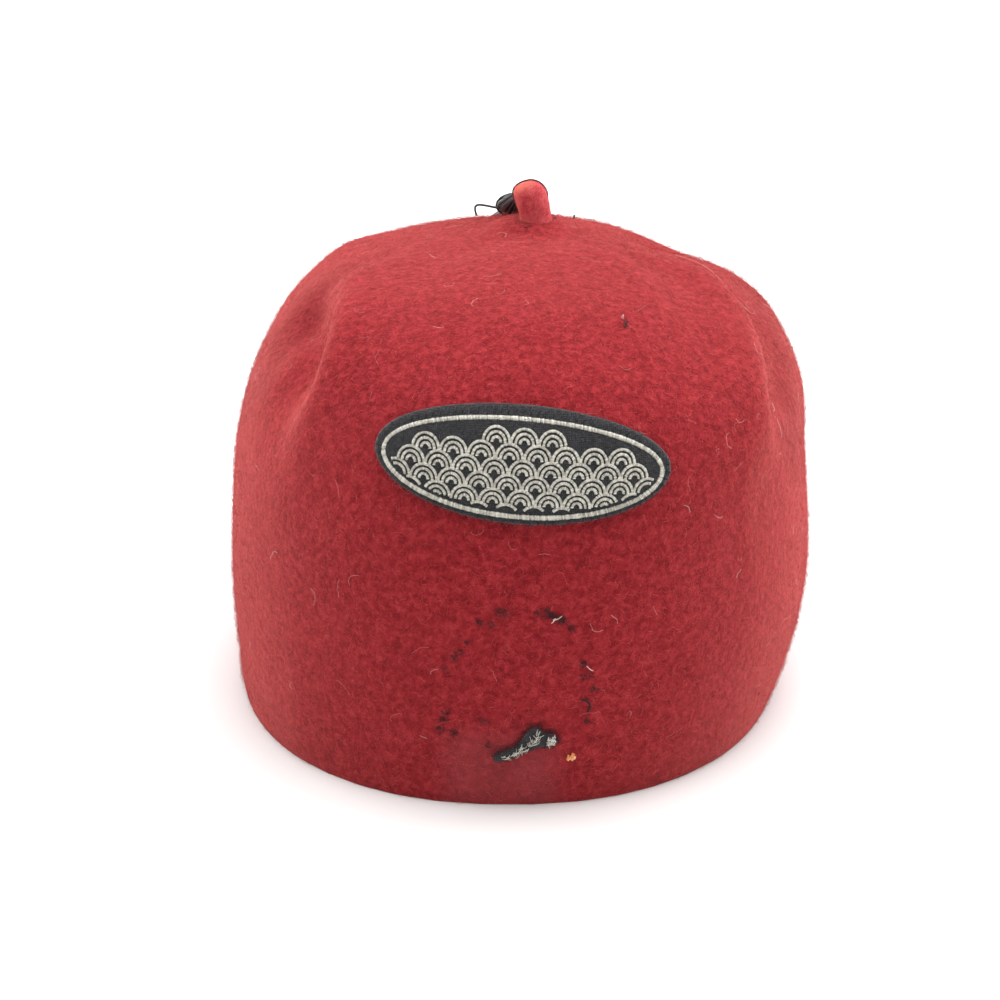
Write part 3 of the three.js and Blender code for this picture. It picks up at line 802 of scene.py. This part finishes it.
def worn_share(point):
    """How faded the felt is: only in a panel above the rim at the front."""
    x, z = point.x / MM, point.z / MM
    edge = FADED_PANEL["edge"]
    inside = (smooth_step(x, FADED_PANEL["left"] - edge, FADED_PANEL["left"] + edge)
              * smooth_step(-x, -FADED_PANEL["right"] - edge, -FADED_PANEL["right"] + edge)
              * smooth_step(-z, -FADED_PANEL["top"] - edge, -FADED_PANEL["top"] + edge))
    return FADED_PANEL["share"] * inside if point.y < 0 else 0.0


def painted_shade_share(point):
    """How much painted shade a place on the felt takes in the hollows beside the creases, from 0 to 1."""
    share = 0.0
    for course in PAINTED_SHADE_HOLLOWS:
        for start, end in zip(course, course[1:]):
            ends = Vector(start) * MM, Vector(end) * MM
            foot, part = geometry.intersect_point_line(point, *ends)
            nearest = ends[0] if part < 0 else ends[1] if part > 1 else foot
            away = (point - nearest).length / MM
            share = max(share, 1 - smooth_step(away, PAINTED_SHADE_REACH["full"], PAINTED_SHADE_REACH["fades_by"]))
    return share


def in_patch(length, height, margin):
    """Whether a place, from the patch's middle, lies inside its edge by a margin."""
    half_length, half_height = PATCH["half_length"] - margin, PATCH["half_height"] - margin
    return math.hypot(length / half_length, height / half_height) < 1


def under_patch(point):
    """Whether a place on the felt is covered by the patch."""
    away = Vector((point.x / MM - PATCH["x"], point.z / MM - PATCH["z"]))
    turned = Matrix.Rotation(-math.radians(PATCH["tilt"]), 2) @ away
    return point.y < 0 and in_patch(turned.x, turned.y, PATCH_TUCK)


def collar(point):
    """Displacement of the felt that is drawn up round the stem's foot and under the tassel's head."""
    reach = math.hypot(point.x / MM - FELT_COLLAR["x"], point.y / MM - FELT_COLLAR["y"])
    share = 1 - smooth_step(reach, FELT_COLLAR["inner"], FELT_COLLAR["outer"])
    return Vector((0, 0, FELT_COLLAR["rise"] * MM * share))


def soften_folds(mesh):
    """Rounds the crests and hollows of the felt above its rim."""
    shape = bmesh.new()
    shape.from_mesh(mesh)
    upper = [vert for vert in shape.verts if vert.co.z > RIM_BAND * MM]
    for _ in range(FOLD_SOFTENING["passes"]):
        bmesh.ops.smooth_vert(shape, verts=upper, factor=FOLD_SOFTENING["share"],
                              use_axis_x=True, use_axis_y=True, use_axis_z=True)
    shape.to_mesh(mesh)
    shape.free()
    mesh.update()


def has_nap(vert):
    """Whether a point is on the felt's outer side, above the turn of the rim and clear of the patch."""
    outside = vert.normal.dot(vert.co - HAT_MIDDLE) > 0 and vert.normal.z > NAP_LEAST_UP
    return outside and not under_patch(vert.co)


def make_crown():
    mesh = smooth_copy("crown", CROWN_LEVELS, on_rim)
    soften_folds(mesh)
    moved = [vert.co + lumpy(vert.co, vert.normal) + collar(vert.co) for vert in mesh.vertices]
    nap = [float(has_nap(vert)) for vert in mesh.vertices]
    move_points(mesh, moved)
    set_attribute(mesh, "nap", nap)
    set_attribute(mesh, "worn", [worn_share(point) for point in moved])
    # Painted shade for the hollows beside the creases, which the nap's fibres take on as well
    set_attribute(mesh, "painted_shade", [painted_shade_share(point) for point in moved])
    mesh.materials.append(FELT)
    return mesh


def add_nap(coat, mesh, material, seed):
    """A coat of fibres over a mesh, turned up where they would reach below the rim."""
    slimness = NAP_THICKNESS / 2 / coat["length"]
    if coat["rings"]:
        fibre = fibre_shape(coat["name"] + "_fibre", slimness, coat["bend"], coat["rings"])
    else:
        fibre = spike_shape(coat["name"] + "_spike", slimness)
    nap = grow(coat["name"], NAP_TREE, mesh.copy(), {
        "Density": coat["per_mm2"] / MM ** 2, "Fibre": fibre,
        "Shortest": SHORTEST_FIBRE * coat["length"] * MM, "Longest": coat["length"] * MM,
        "Least lean": math.radians(coat["up"]), "Most lean": math.radians(coat["flat"]),
        "Clump": NAP_CLUMP * MM, "Shade": NAP_SHADE * MM, "Seed": seed, "Material": material})
    bpy.data.objects.remove(fibre)
    for vert in nap.vertices:
        if vert.co.z < NAP_FLOOR * MM:
            vert.co.z = NAP_FLOOR * MM + NAP_TURN_UP * (NAP_FLOOR * MM - vert.co.z)
    return show(coat["name"], nap)


CROWN_MESH = make_crown()
show("crown_felt", CROWN_MESH, ["crown"])
CROWN_SKIN = surface_tree(CROWN_MESH)
for number, coat in enumerate(NAP_COATS):
    add_nap(coat, CROWN_MESH, NAP_FIBRE, seed=FIRST_NAP_SEED + number)


def front_point(x, z, lift):
    """The crown's front at x and z, lifted off the felt by so many millimetres."""
    return lifted(CROWN_SKIN, Vector((x, FRONT_START, z)) * MM, BACKWARDS, lift)


def top_point(x, y, lift):
    """The crown's top at x and y, lifted off the felt."""
    return lifted(CROWN_SKIN, Vector((x, y, TOP_START)) * MM, DOWNWARDS, lift)


def back_point(x, angle, lift):
    """The crown's back at x, at an angle above level from a point inside the hat, lifted off the felt."""
    way = Vector((0, math.cos(math.radians(angle)), math.sin(math.radians(angle))))
    return lifted(CROWN_SKIN, Vector((x, 0, MIDDLE_HEIGHT)) * MM + way * ROUND_START, -way, lift)


# The stem

def make_stem():
    mesh = smooth_copy("stem", STEM_LEVELS)
    moved = []
    for vert in mesh.vertices:
        low = 1 - smooth_step(vert.co.z / MM - PEAK.z, STEM_FLARE["from"], STEM_FLARE["height"])
        outwards = Vector((vert.normal.x, vert.normal.y, 0)) * STEM_FLARE["spread"] * low
        outwards.z = -STEM_FLARE["sink"] * low
        uneven = vert.normal * STEM_LUMPS["rise"] * noise.noise(vert.co / (STEM_LUMPS["size"] * MM))
        moved.append(vert.co + (outwards + uneven) * MM)
    move_points(mesh, moved)
    rubbed = [smooth_step(vert.normal.z - vert.normal.x, STEM_WEAR["from"], STEM_WEAR["to"])
              for vert in mesh.vertices]
    set_attribute(mesh, "nap", [float(vert.normal.z > STEM_NAP_LEAST_UP) for vert in mesh.vertices])
    set_attribute(mesh, "worn", [STEM_WEAR["share"] * share for share in rubbed])
    mesh.materials.append(STEM_FELT)
    return mesh


STEM_MESH = make_stem()
STEM_SKIN = surface_tree(STEM_MESH)
show("stem_felt", STEM_MESH, ["stem"])
add_nap(STEM_NAP, STEM_MESH, STEM_FIBRE, seed=31)


# The tassel

def head_section(part):
    """The tassel head's section part of the way along it, from 0 to 1."""
    place = part * (len(TASSEL_HEAD) - 1)
    index = min(int(place), len(TASSEL_HEAD) - 2)
    before, after = TASSEL_HEAD[index], TASSEL_HEAD[index + 1]
    return {key: mix(before[key], after[key], place - index) for key in before}


def head_point(part, across, above):
    """A place in the head: across and above are shares of the section's half sizes."""
    section = head_section(part)
    return (PEAK + Vector((section["x"] + across * section["half_width"], section["y"],
                           section["height"] + above * section["half_height"]))) * MM


def head_path(side, across, above):
    """A thread's way through the tassel's head."""
    spread = max(-1.0, min(1.0, HEAD_SPREAD["lock"] * side + HEAD_SPREAD["thread"] * across))
    roof = math.sqrt(max(0.0, 1 - spread * spread))
    path = []
    for part in (step / HEAD_STEPS for step in range(HEAD_STEPS)):
        twist = Matrix.Rotation(math.radians(HEAD_TWIST) * (1 - part) ** 2, 2)
        place = twist @ Vector((spread, roof * above))
        path.append((head_point(part, place.x, place.y), THREAD_RADIUS))
    return path


def fall_path(side, across, above, end, drift):
    """A thread's way down the back, from the head to its end's angle above level."""
    path = []
    for part in (step / FALL_STEPS for step in range(FALL_STEPS + 1)):
        swell = min(LOCK_FULLNESS["root"] + LOCK_FULLNESS["growth"] * part, 1.0)
        full = math.sin(math.pi * swell) ** 0.5
        opened = smooth_step(part, LOCK_FAN["opens_from"], 1.0)
        bent = smooth_step(part, 0.0, TASSEL_CENTRE_X["neck_ends"])
        neck = mix(TASSEL_CENTRE_X["neck"], TASSEL_CENTRE_X["top"], bent)
        fan = side * mix(LOCK_FAN["root"], LOCK_FAN["tip"], opened)
        centre = mix(neck, TASSEL_CENTRE_X["tip"], part) + fan
        x = centre + full * LOCK_SIZE["half_width"] * across + drift * part
        heap = full * LOCK_SIZE["half_height"] * (1 + above) * LOCK_SIZE["flatness"]
        lift = LOCK_SIZE["clearance"] + THREAD_RADIUS + heap
        place = back_point(x, mix(FALL_ANGLE["top"], end, part), lift)
        path.append((place, THREAD_RADIUS * mix(1.0, THREAD_TAPER, part)))
    return path


def tassel_strands():
    """Threads through the head and down the back, gathered in locks."""
    chance = random.Random(5)
    strands = []
    half = (LOCKS - 1) / 2
    for lock in range(LOCKS):
        side = (lock - half) / half
        lock_end = FALL_ANGLE["low"] + FALL_ANGLE["uneven"] * math.sin(FALL_ANGLE["wave"] * lock)
        for _ in range(THREADS_PER_LOCK):
            turn = chance.uniform(0, 2 * math.pi)
            share = math.sqrt(chance.random())
            across, above = share * math.cos(turn), share * math.sin(turn)
            end = lock_end + chance.uniform(-FALL_ANGLE["ragged"], FALL_ANGLE["ragged"])
            drift = chance.uniform(-FALL_DRIFT, FALL_DRIFT)
            path = head_path(side, across, above) + fall_path(side, across, above, end, drift)
            strands.append((path, chance.random()))
    return strands


def binding_strand():
    """One thread wound round the tassel's neck."""
    path = []
    steps = BINDING["steps_per_turn"] * BINDING["turns"]
    for step in range(steps + 1):
        turn = 2 * math.pi * BINDING["turns"] * step / steps
        part = mix(BINDING["from"], BINDING["to"], step / steps)
        across, above = BINDING["across"] * math.cos(turn), BINDING["above"] * math.sin(turn)
        path.append((head_point(part, across, above), BINDING["radius"]))
    return [(path, BINDING["tone"])]


def add_threads(name, strands, material, sides, stands_for=()):
    paths = strand_mesh(name + "_paths", strands)
    mesh = grow(name, THREAD_TREE, paths, {"Sides": sides, "Material": material})
    return show(name, mesh, stands_for)


add_threads("tassel_threads", tassel_strands(), BLACK_SILK, sides=4, stands_for=["tassel"])
add_threads("tassel_binding", binding_strand(), BLACK_SILK, sides=6)


# The patch and its embroidery

def patch_point(length, height, lift):
    """A place on the patch, from its middle along its length and height in millimetres."""
    tilt = math.radians(PATCH["tilt"])
    x = PATCH["x"] + length * math.cos(tilt) - height * math.sin(tilt)
    z = PATCH["z"] + length * math.sin(tilt) + height * math.cos(tilt)
    return lifted(PATCH_SKIN, Vector((x, FRONT_START, z)) * MM, BACKWARDS, lift)


def guide(places, lift):
    """A path on the patch for stitches to follow."""
    path = [(patch_point(length, height, lift), STITCH_GUIDE["radius"]) for length, height in places]
    return path, STITCH_GUIDE["tone"]


def runs_inside(arc):
    """The parts of an arc that lie within the patch's border."""
    runs = [[]]
    for place in arc:
        if in_patch(*place, SHELL_MARGIN):
            runs[-1].append(place)
        elif runs[-1]:
            runs.append([])
    return [run for run in runs if len(run) > SHORTEST_SHELL_RUN]


def shell_paths():
    """Rows of shells, half a pitch apart and set between each other, where their tops fit in the border."""
    paths = []
    turns = [math.radians(angle) for angle in range(0, 181, SHELL_STEP)]
    columns = math.ceil(PATCH["half_length"] / SHELL_PITCH)
    for row in range(SHELL_ROWS["count"]):
        height = SHELL_ROWS["lowest"] + row * SHELL_PITCH / 2
        shift = 0.0 if row % 2 else 0.5
        for column in range(-columns, columns + 1):
            length = (column + shift) * SHELL_PITCH
            if not in_patch(length, height + SHELL_RADII[0], SHELL_MARGIN):
                continue
            for radius in SHELL_RADII:
                arc = [(length + radius * math.cos(turn), height + radius * math.sin(turn))
                       for turn in turns]
                paths += [guide(run, SHELL_LIFT) for run in runs_inside(arc)]
    return paths


def edge_path(inset):
    """The patch's outline, a little inside its edge."""
    half_length, half_height = PATCH["half_length"] - inset, PATCH["half_height"] - inset
    turns = [math.radians(angle) for angle in range(0, 361, BORDER_STEP)]
    return [guide([(half_length * math.cos(turn), half_height * math.sin(turn)) for turn in turns], 0.0)]


def make_patch():
    mesh = smooth_copy("front_patch", CLOTH_LEVELS)
    roughen(mesh, PATCH_LUMPS)
    set_attribute(mesh, "nap", [float(vert.normal.y < PATCH_NAP_FACES) for vert in mesh.vertices])
    set_attribute(mesh, "worn", [0.0] * len(mesh.vertices))
    mesh.materials.append(BLACK_WOOL)
    return show("patch_cloth", mesh, ["front_patch"])


def add_stitches(name, paths, surface, sizes, turn, looseness, material, slot, seed):
    stitch = stitch_shape(name + "_stitch")
    mesh = grow(name, STITCH_TREE, strand_mesh(name + "_paths", paths), {
        "Surface": surface, "Stitch": stitch, "Spacing": sizes["spacing"] * MM,
        "Length": sizes["length"] * MM, "Width": sizes["width"] * MM, "Turn": math.radians(turn),
        "Looseness": math.radians(looseness), "Seed": seed, "Material": material})
    bpy.data.objects.remove(stitch)
    return show(name, mesh)


PATCH_CLOTH = make_patch()
PATCH_SKIN = surface_tree(PATCH_CLOTH.data)
PATCH_TRIMS = [add_nap(PATCH_NAP, PATCH_CLOTH.data, GREY_FIBRE, seed=37)]
PATCH_STITCHING = table(
    "name paths sizes turn looseness material seed",
    ("patch_shells", shell_paths(), SHELL_SATIN, 90, 4, SILVER_SILK, 41),
    ("patch_border", edge_path(BORDER_INSET), BORDER_SATIN, 90, 5, SILVER_SILK, 42),
    ("patch_edging", edge_path(EDGE_INSET), EDGE_STITCH, 80, 12, BLACK_COTTON, 43),
)
for stitching in PATCH_STITCHING:
    PATCH_TRIMS.append(add_stitches(surface=PATCH_CLOTH, slot="patch_cloth", **stitching))


# The torn scrap

def make_scrap():
    mesh = smooth_copy("cloth_scrap", CLOTH_LEVELS)
    roughen(mesh, SCRAP_LUMPS)
    mesh.materials.append(BLACK_WOOL)
    return show("scrap_cloth", mesh, ["cloth_scrap"])


SCRAP_CLOTH = make_scrap()
SCRAP_SKIN = surface_tree(SCRAP_CLOTH.data)


def scrap_point(x, z, lift):
    """A place on the scrap, or on the felt beside it, measured from the scrap's middle."""
    x, z = SCRAP["x"] + x, SCRAP["z"] + z
    place = lifted(SCRAP_SKIN, Vector((x, FRONT_START, z)) * MM, BACKWARDS, lift)
    return front_point(x, z, lift + FLECK["off_cloth"]) if place is None else place


def fleck(x, z, way, run, radius, chance):
    """A short thread end that arches over the scrap."""
    across, up = run * math.cos(way), run * math.sin(way)
    sway = chance.uniform(-FLECK["sway"], FLECK["sway"])
    path = []
    for part in FLECK["parts"]:
        along = x + across * part - sway * up * part * part
        height = z + up * part + sway * across * part * part
        lift = FLECK["lift"] + FLECK["arch"] * math.sin(math.pi * part)
        path.append((scrap_point(along, height, lift), radius))
    return path, chance.random()


def frayed_end(fray, x, z, heading, chance):
    """A thread end that starts somewhere about a place on the scrap."""
    return fleck(x + chance.gauss(0, fray["along"]), z + chance.gauss(0, fray["across"]),
                 heading + chance.gauss(0, fray["turn"]), chance.uniform(fray["shortest"], fray["longest"]),
                 fray["radius"], chance)


def scrap_fray():
    """Cream thread ends in clumps along the scrap's middle, and a thicker bunch at its torn right end."""
    chance = random.Random(8)
    strands = []
    for (x, z), (next_x, next_z) in zip(SCRAP_SPINE, SCRAP_SPINE[1:]):
        heading = math.atan2(next_z - z, next_x - x)
        for _ in range(chance.randint(SPINE_ENDS["fewest"], SPINE_ENDS["most"])):
            strands.append(frayed_end(SPINE_FRAY, x, z, heading, chance))
    torn = SCRAP_TORN_END
    for _ in range(torn["ends"]):
        strands.append(frayed_end(TORN_FRAY, torn["x"], torn["z"], torn["heading"], chance))
    return strands


def scrap_fuzz():
    """Short dark fibres that stick out all round the scrap."""
    chance = random.Random(9)
    strands = []
    for (x, z), (next_x, next_z) in zip(SCRAP_OUTLINE, SCRAP_OUTLINE[1:] + SCRAP_OUTLINE[:1]):
        outwards = math.atan2(x - next_x, next_z - z)
        edge = math.hypot(next_x - x, next_z - z)
        for _ in range(round(EDGE_FUZZ["per_mm"] * edge)):
            part = chance.random()
            way = outwards + chance.gauss(0, EDGE_FUZZ["turn"])
            run = chance.uniform(EDGE_FUZZ["shortest"], EDGE_FUZZ["longest"])
            strands.append(fleck(EDGE_FUZZ["inset"] * mix(x, next_x, part),
                                 EDGE_FUZZ["inset"] * mix(z, next_z, part),
                                 way, run, EDGE_FUZZ["radius"], chance))
    return strands


add_threads("scrap_fray", scrap_fray(), SILVER_SILK, sides=4)
add_threads("scrap_fuzz", scrap_fuzz(), BLACK_COTTON, sides=3)


# Needle marks, thread ends and lint

def tuft(mark, chance, radius, lift):
    """Short fibres lying every way about a place on the front."""
    strands = []
    for _ in range(mark["fibres"]):
        turn, lean = chance.uniform(0, 2 * math.pi), chance.uniform(0, 2 * math.pi)
        share = mark["size"] * math.sqrt(chance.random())
        x = mark["x"] + TUFT["wide"] * share * math.cos(turn)
        z = mark["z"] + TUFT["high"] * share * math.sin(turn)
        reach = chance.uniform(TUFT["shortest"], TUFT["longest"])
        path = []
        for part in (-1.0, 0.0, 1.0):
            height = lift * chance.uniform(TUFT["lowest"], TUFT["highest"])
            across, up = part * reach * math.cos(lean), part * reach * math.sin(lean)
            path.append((front_point(x + across, z + up, height), radius))
        strands.append((path, chance.random()))
    return strands


def laid_thread(places, radius, lift, tone):
    """A thread through places on the front, rising off the felt in its middle."""
    course = rounded(places)
    last = len(course) - 1
    heights = [lift * (END_LIFT + math.sin(math.pi * step / last)) for step in range(last + 1)]
    path = [(front_point(place.x, place.y, height), radius) for place, height in zip(course, heights)]
    return path, tone


def lint_hairs():
    """Loose pale hairs caught on the nap, each with a curl of its own, and one long hair on the right."""
    chance = random.Random(17)
    strands = []
    for _ in range(LINT["hairs"]):
        turn, height = chance.uniform(0, 2 * math.pi), chance.uniform(LINT["lowest"], 1.0)
        level = math.sqrt(max(0.0, 1 - height * height))
        way = Vector((level * math.sin(turn), -level * math.cos(turn), height))
        place, normal, _, _ = CROWN_SKIN.ray_cast(HAT_MIDDLE + way * ROUND_START, -way)
        heading = normal.orthogonal().normalized()
        heading.rotate(Quaternion(normal, chance.uniform(0, 2 * math.pi)))
        step = chance.uniform(LINT["shortest"], LINT["longest"]) / LINT["steps"] * MM
        curl = chance.uniform(-LINT["curl"], LINT["curl"])
        path = []
        for _ in range(LINT["steps"]):
            rise = chance.uniform(LINT["least_rise"], LINT["most_rise"])
            path.append((place + normal * LINT["lift"] * rise * MM, LINT["radius"]))
            heading.rotate(Quaternion(normal, curl + chance.uniform(-LINT["kink"], LINT["kink"])))
            place, normal, _, _ = CROWN_SKIN.find_nearest(place + heading * step)
        strands.append((path, chance.random() ** LINT["darkness"]))
    long_places = [top_point(place.x, place.y, LONG_HAIR_LIFT) for place in rounded(LONG_HAIR)]
    return strands + [([(place, LINT["radius"]) for place in long_places], LONG_HAIR_TONE)]


def by_peak(x, y, height):
    """A place measured from the crown's peak."""
    return (PEAK + Vector((x, y, height))) * MM


def over_thread():
    """A worn thread laid over the top of the stem, from its right side to the tassel's head."""
    radius = OVER_THREAD["radius"]
    centre = by_peak(*OVER_THREAD["centre"])
    path = []
    for angle in range(OVER_THREAD["first"], OVER_THREAD["last"] + 1, OVER_THREAD["step"]):
        way = Vector((math.cos(math.radians(angle)), 0, math.sin(math.radians(angle))))
        risen = smooth_step(angle, OVER_THREAD["first"], OVER_THREAD["laid_from"])
        lift = mix(OVER_THREAD["sunk"], OVER_THREAD["laid"], risen)
        path.append((lifted(STEM_SKIN, centre + way * STEM_START, -way, lift), radius))
    path.append((by_peak(*OVER_THREAD["end"]), radius))
    return [(path, OVER_THREAD["tone"])]


def free_thread(places, radius, tone):
    """A thread through places measured from the peak."""
    return [(by_peak(*place), radius) for place in rounded(places)], tone


def stem_threads():
    """A stray loop of tassel thread beside the stem, and loose ends."""
    return [free_thread(STRAY_LOOP, **LOOP_THREAD)] + [free_thread(end, **END_THREAD) for end in STEM_ENDS]


def stem_stitches():
    """Two small dark stitches at the front of the stem's foot."""
    strands = []
    for x, y in STEM_STITCHES:
        path = []
        for part in (0.0, 0.5, 1.0):
            place = top_point(PEAK.x + x + STEM_STITCH["length"] * part, y + STEM_STITCH["slant"] * part,
                              STEM_STITCH["lift"])
            path.append((place, STEM_STITCH["radius"]))
        strands.append((path, STEM_STITCH["tone"]))
    return strands


CHANCE = random.Random(23)
NEEDLE_FIBRES = [strand for mark in NEEDLE_MARKS for strand in tuft(mark, CHANCE, **NEEDLE_FIBRE)]
HOOK = [laid_thread(THREAD_HOOK, **HOOK_THREAD)]
PALE_STRANDS = [laid_thread(places, **PALE_THREAD) for places in PALE_ENDS]
add_threads("needle_marks", NEEDLE_FIBRES, MATTED_COTTON, sides=3)
add_threads("thread_hook", HOOK, MATTED_COTTON, sides=6)
add_threads("pale_ends", PALE_STRANDS, PALE_HAIR, sides=5)
add_threads("orange_tuft", tuft(ORANGE_TUFT, CHANCE, **ORANGE_FIBRE), ORANGE_COTTON, sides=5)
add_threads("lint_hairs", lint_hairs(), PALE_HAIR, sides=3)
add_threads("stem_threads", stem_threads(), BLACK_SILK, sides=6)
add_threads("over_thread", over_thread(), MATTED_COTTON, sides=6)
add_threads("stem_stitches", stem_stitches(), DARK_RED_COTTON, sides=5)


# Floor, light and camera

def studio_world():
    """Dim light from all round, and a white backdrop that stands low along the horizon."""
    world = bpy.data.worlds.new("studio")
    world.use_nodes = True
    tree = world.node_tree
    way = add_node(tree, "ShaderNodeTexCoord").outputs["Generated"]
    height = add_node(tree, "ShaderNodeSeparateXYZ", {"Vector": way}).outputs["Z"]
    glow = add_node(tree, "ShaderNodeMapRange", {
        "Value": height, "From Min": BACKDROP["full"], "From Max": BACKDROP["top"], "To Min": 1.0,
        "To Max": WORLD_STRENGTH})
    light = tree.nodes["Background"]
    light.inputs["Color"].default_value = linear("#ffffff")
    tree.links.new(glow.outputs["Result"], light.inputs["Strength"])
    return world


def make_floor():
    mesh = bpy.data.meshes.new("floor")
    half = FLOOR_SIZE / 2
    corners = [(-half, -half, 0), (half, -half, 0), (half, half, 0), (-half, half, 0)]
    mesh.from_pydata(corners, [], [(0, 1, 2, 3)])
    mesh.materials.append(studio_paper("white_studio_paper"))
    place_object("floor", mesh)


def turn_to(thing, aim):
    """Points a lamp or a camera at a place."""
    thing.rotation_euler = (aim - thing.location).to_track_quat("-Z", "Y").to_euler()


def make_lights():
    panel = bpy.data.lights.new("overhead_panel", "SUN")
    panel.angle = math.radians(OVERHEAD_PANEL["spread"])
    panel.energy = OVERHEAD_PANEL["strength"]
    tilt = -math.radians(OVERHEAD_PANEL["back"]), math.radians(OVERHEAD_PANEL["right"]), 0
    place_object("overhead_panel", panel).rotation_euler = tilt
    for box in SOFTBOXES:
        lamp = bpy.data.lights.new(box["name"], "AREA")
        lamp.size = box["size"]
        lamp.energy = box["power"]
        light = place_object(box["name"], lamp)
        light.location = box["place"]
        turn_to(light, SOFTBOX_AIM)
    bpy.context.scene.world = studio_world()
    bpy.context.scene.view_settings.view_transform = "Standard"


def make_camera():
    lens = bpy.data.cameras.new("camera")
    lens.lens = CAMERA_LENS
    lens.sensor_width = CAMERA_SENSOR
    lens.clip_start = CAMERA_NEAREST
    camera = place_object("camera", lens)
    camera.location = CAMERA_PLACE
    turn_to(camera, CAMERA_AIM)
    bpy.context.scene.camera = camera


make_floor()
make_lights()
make_camera()
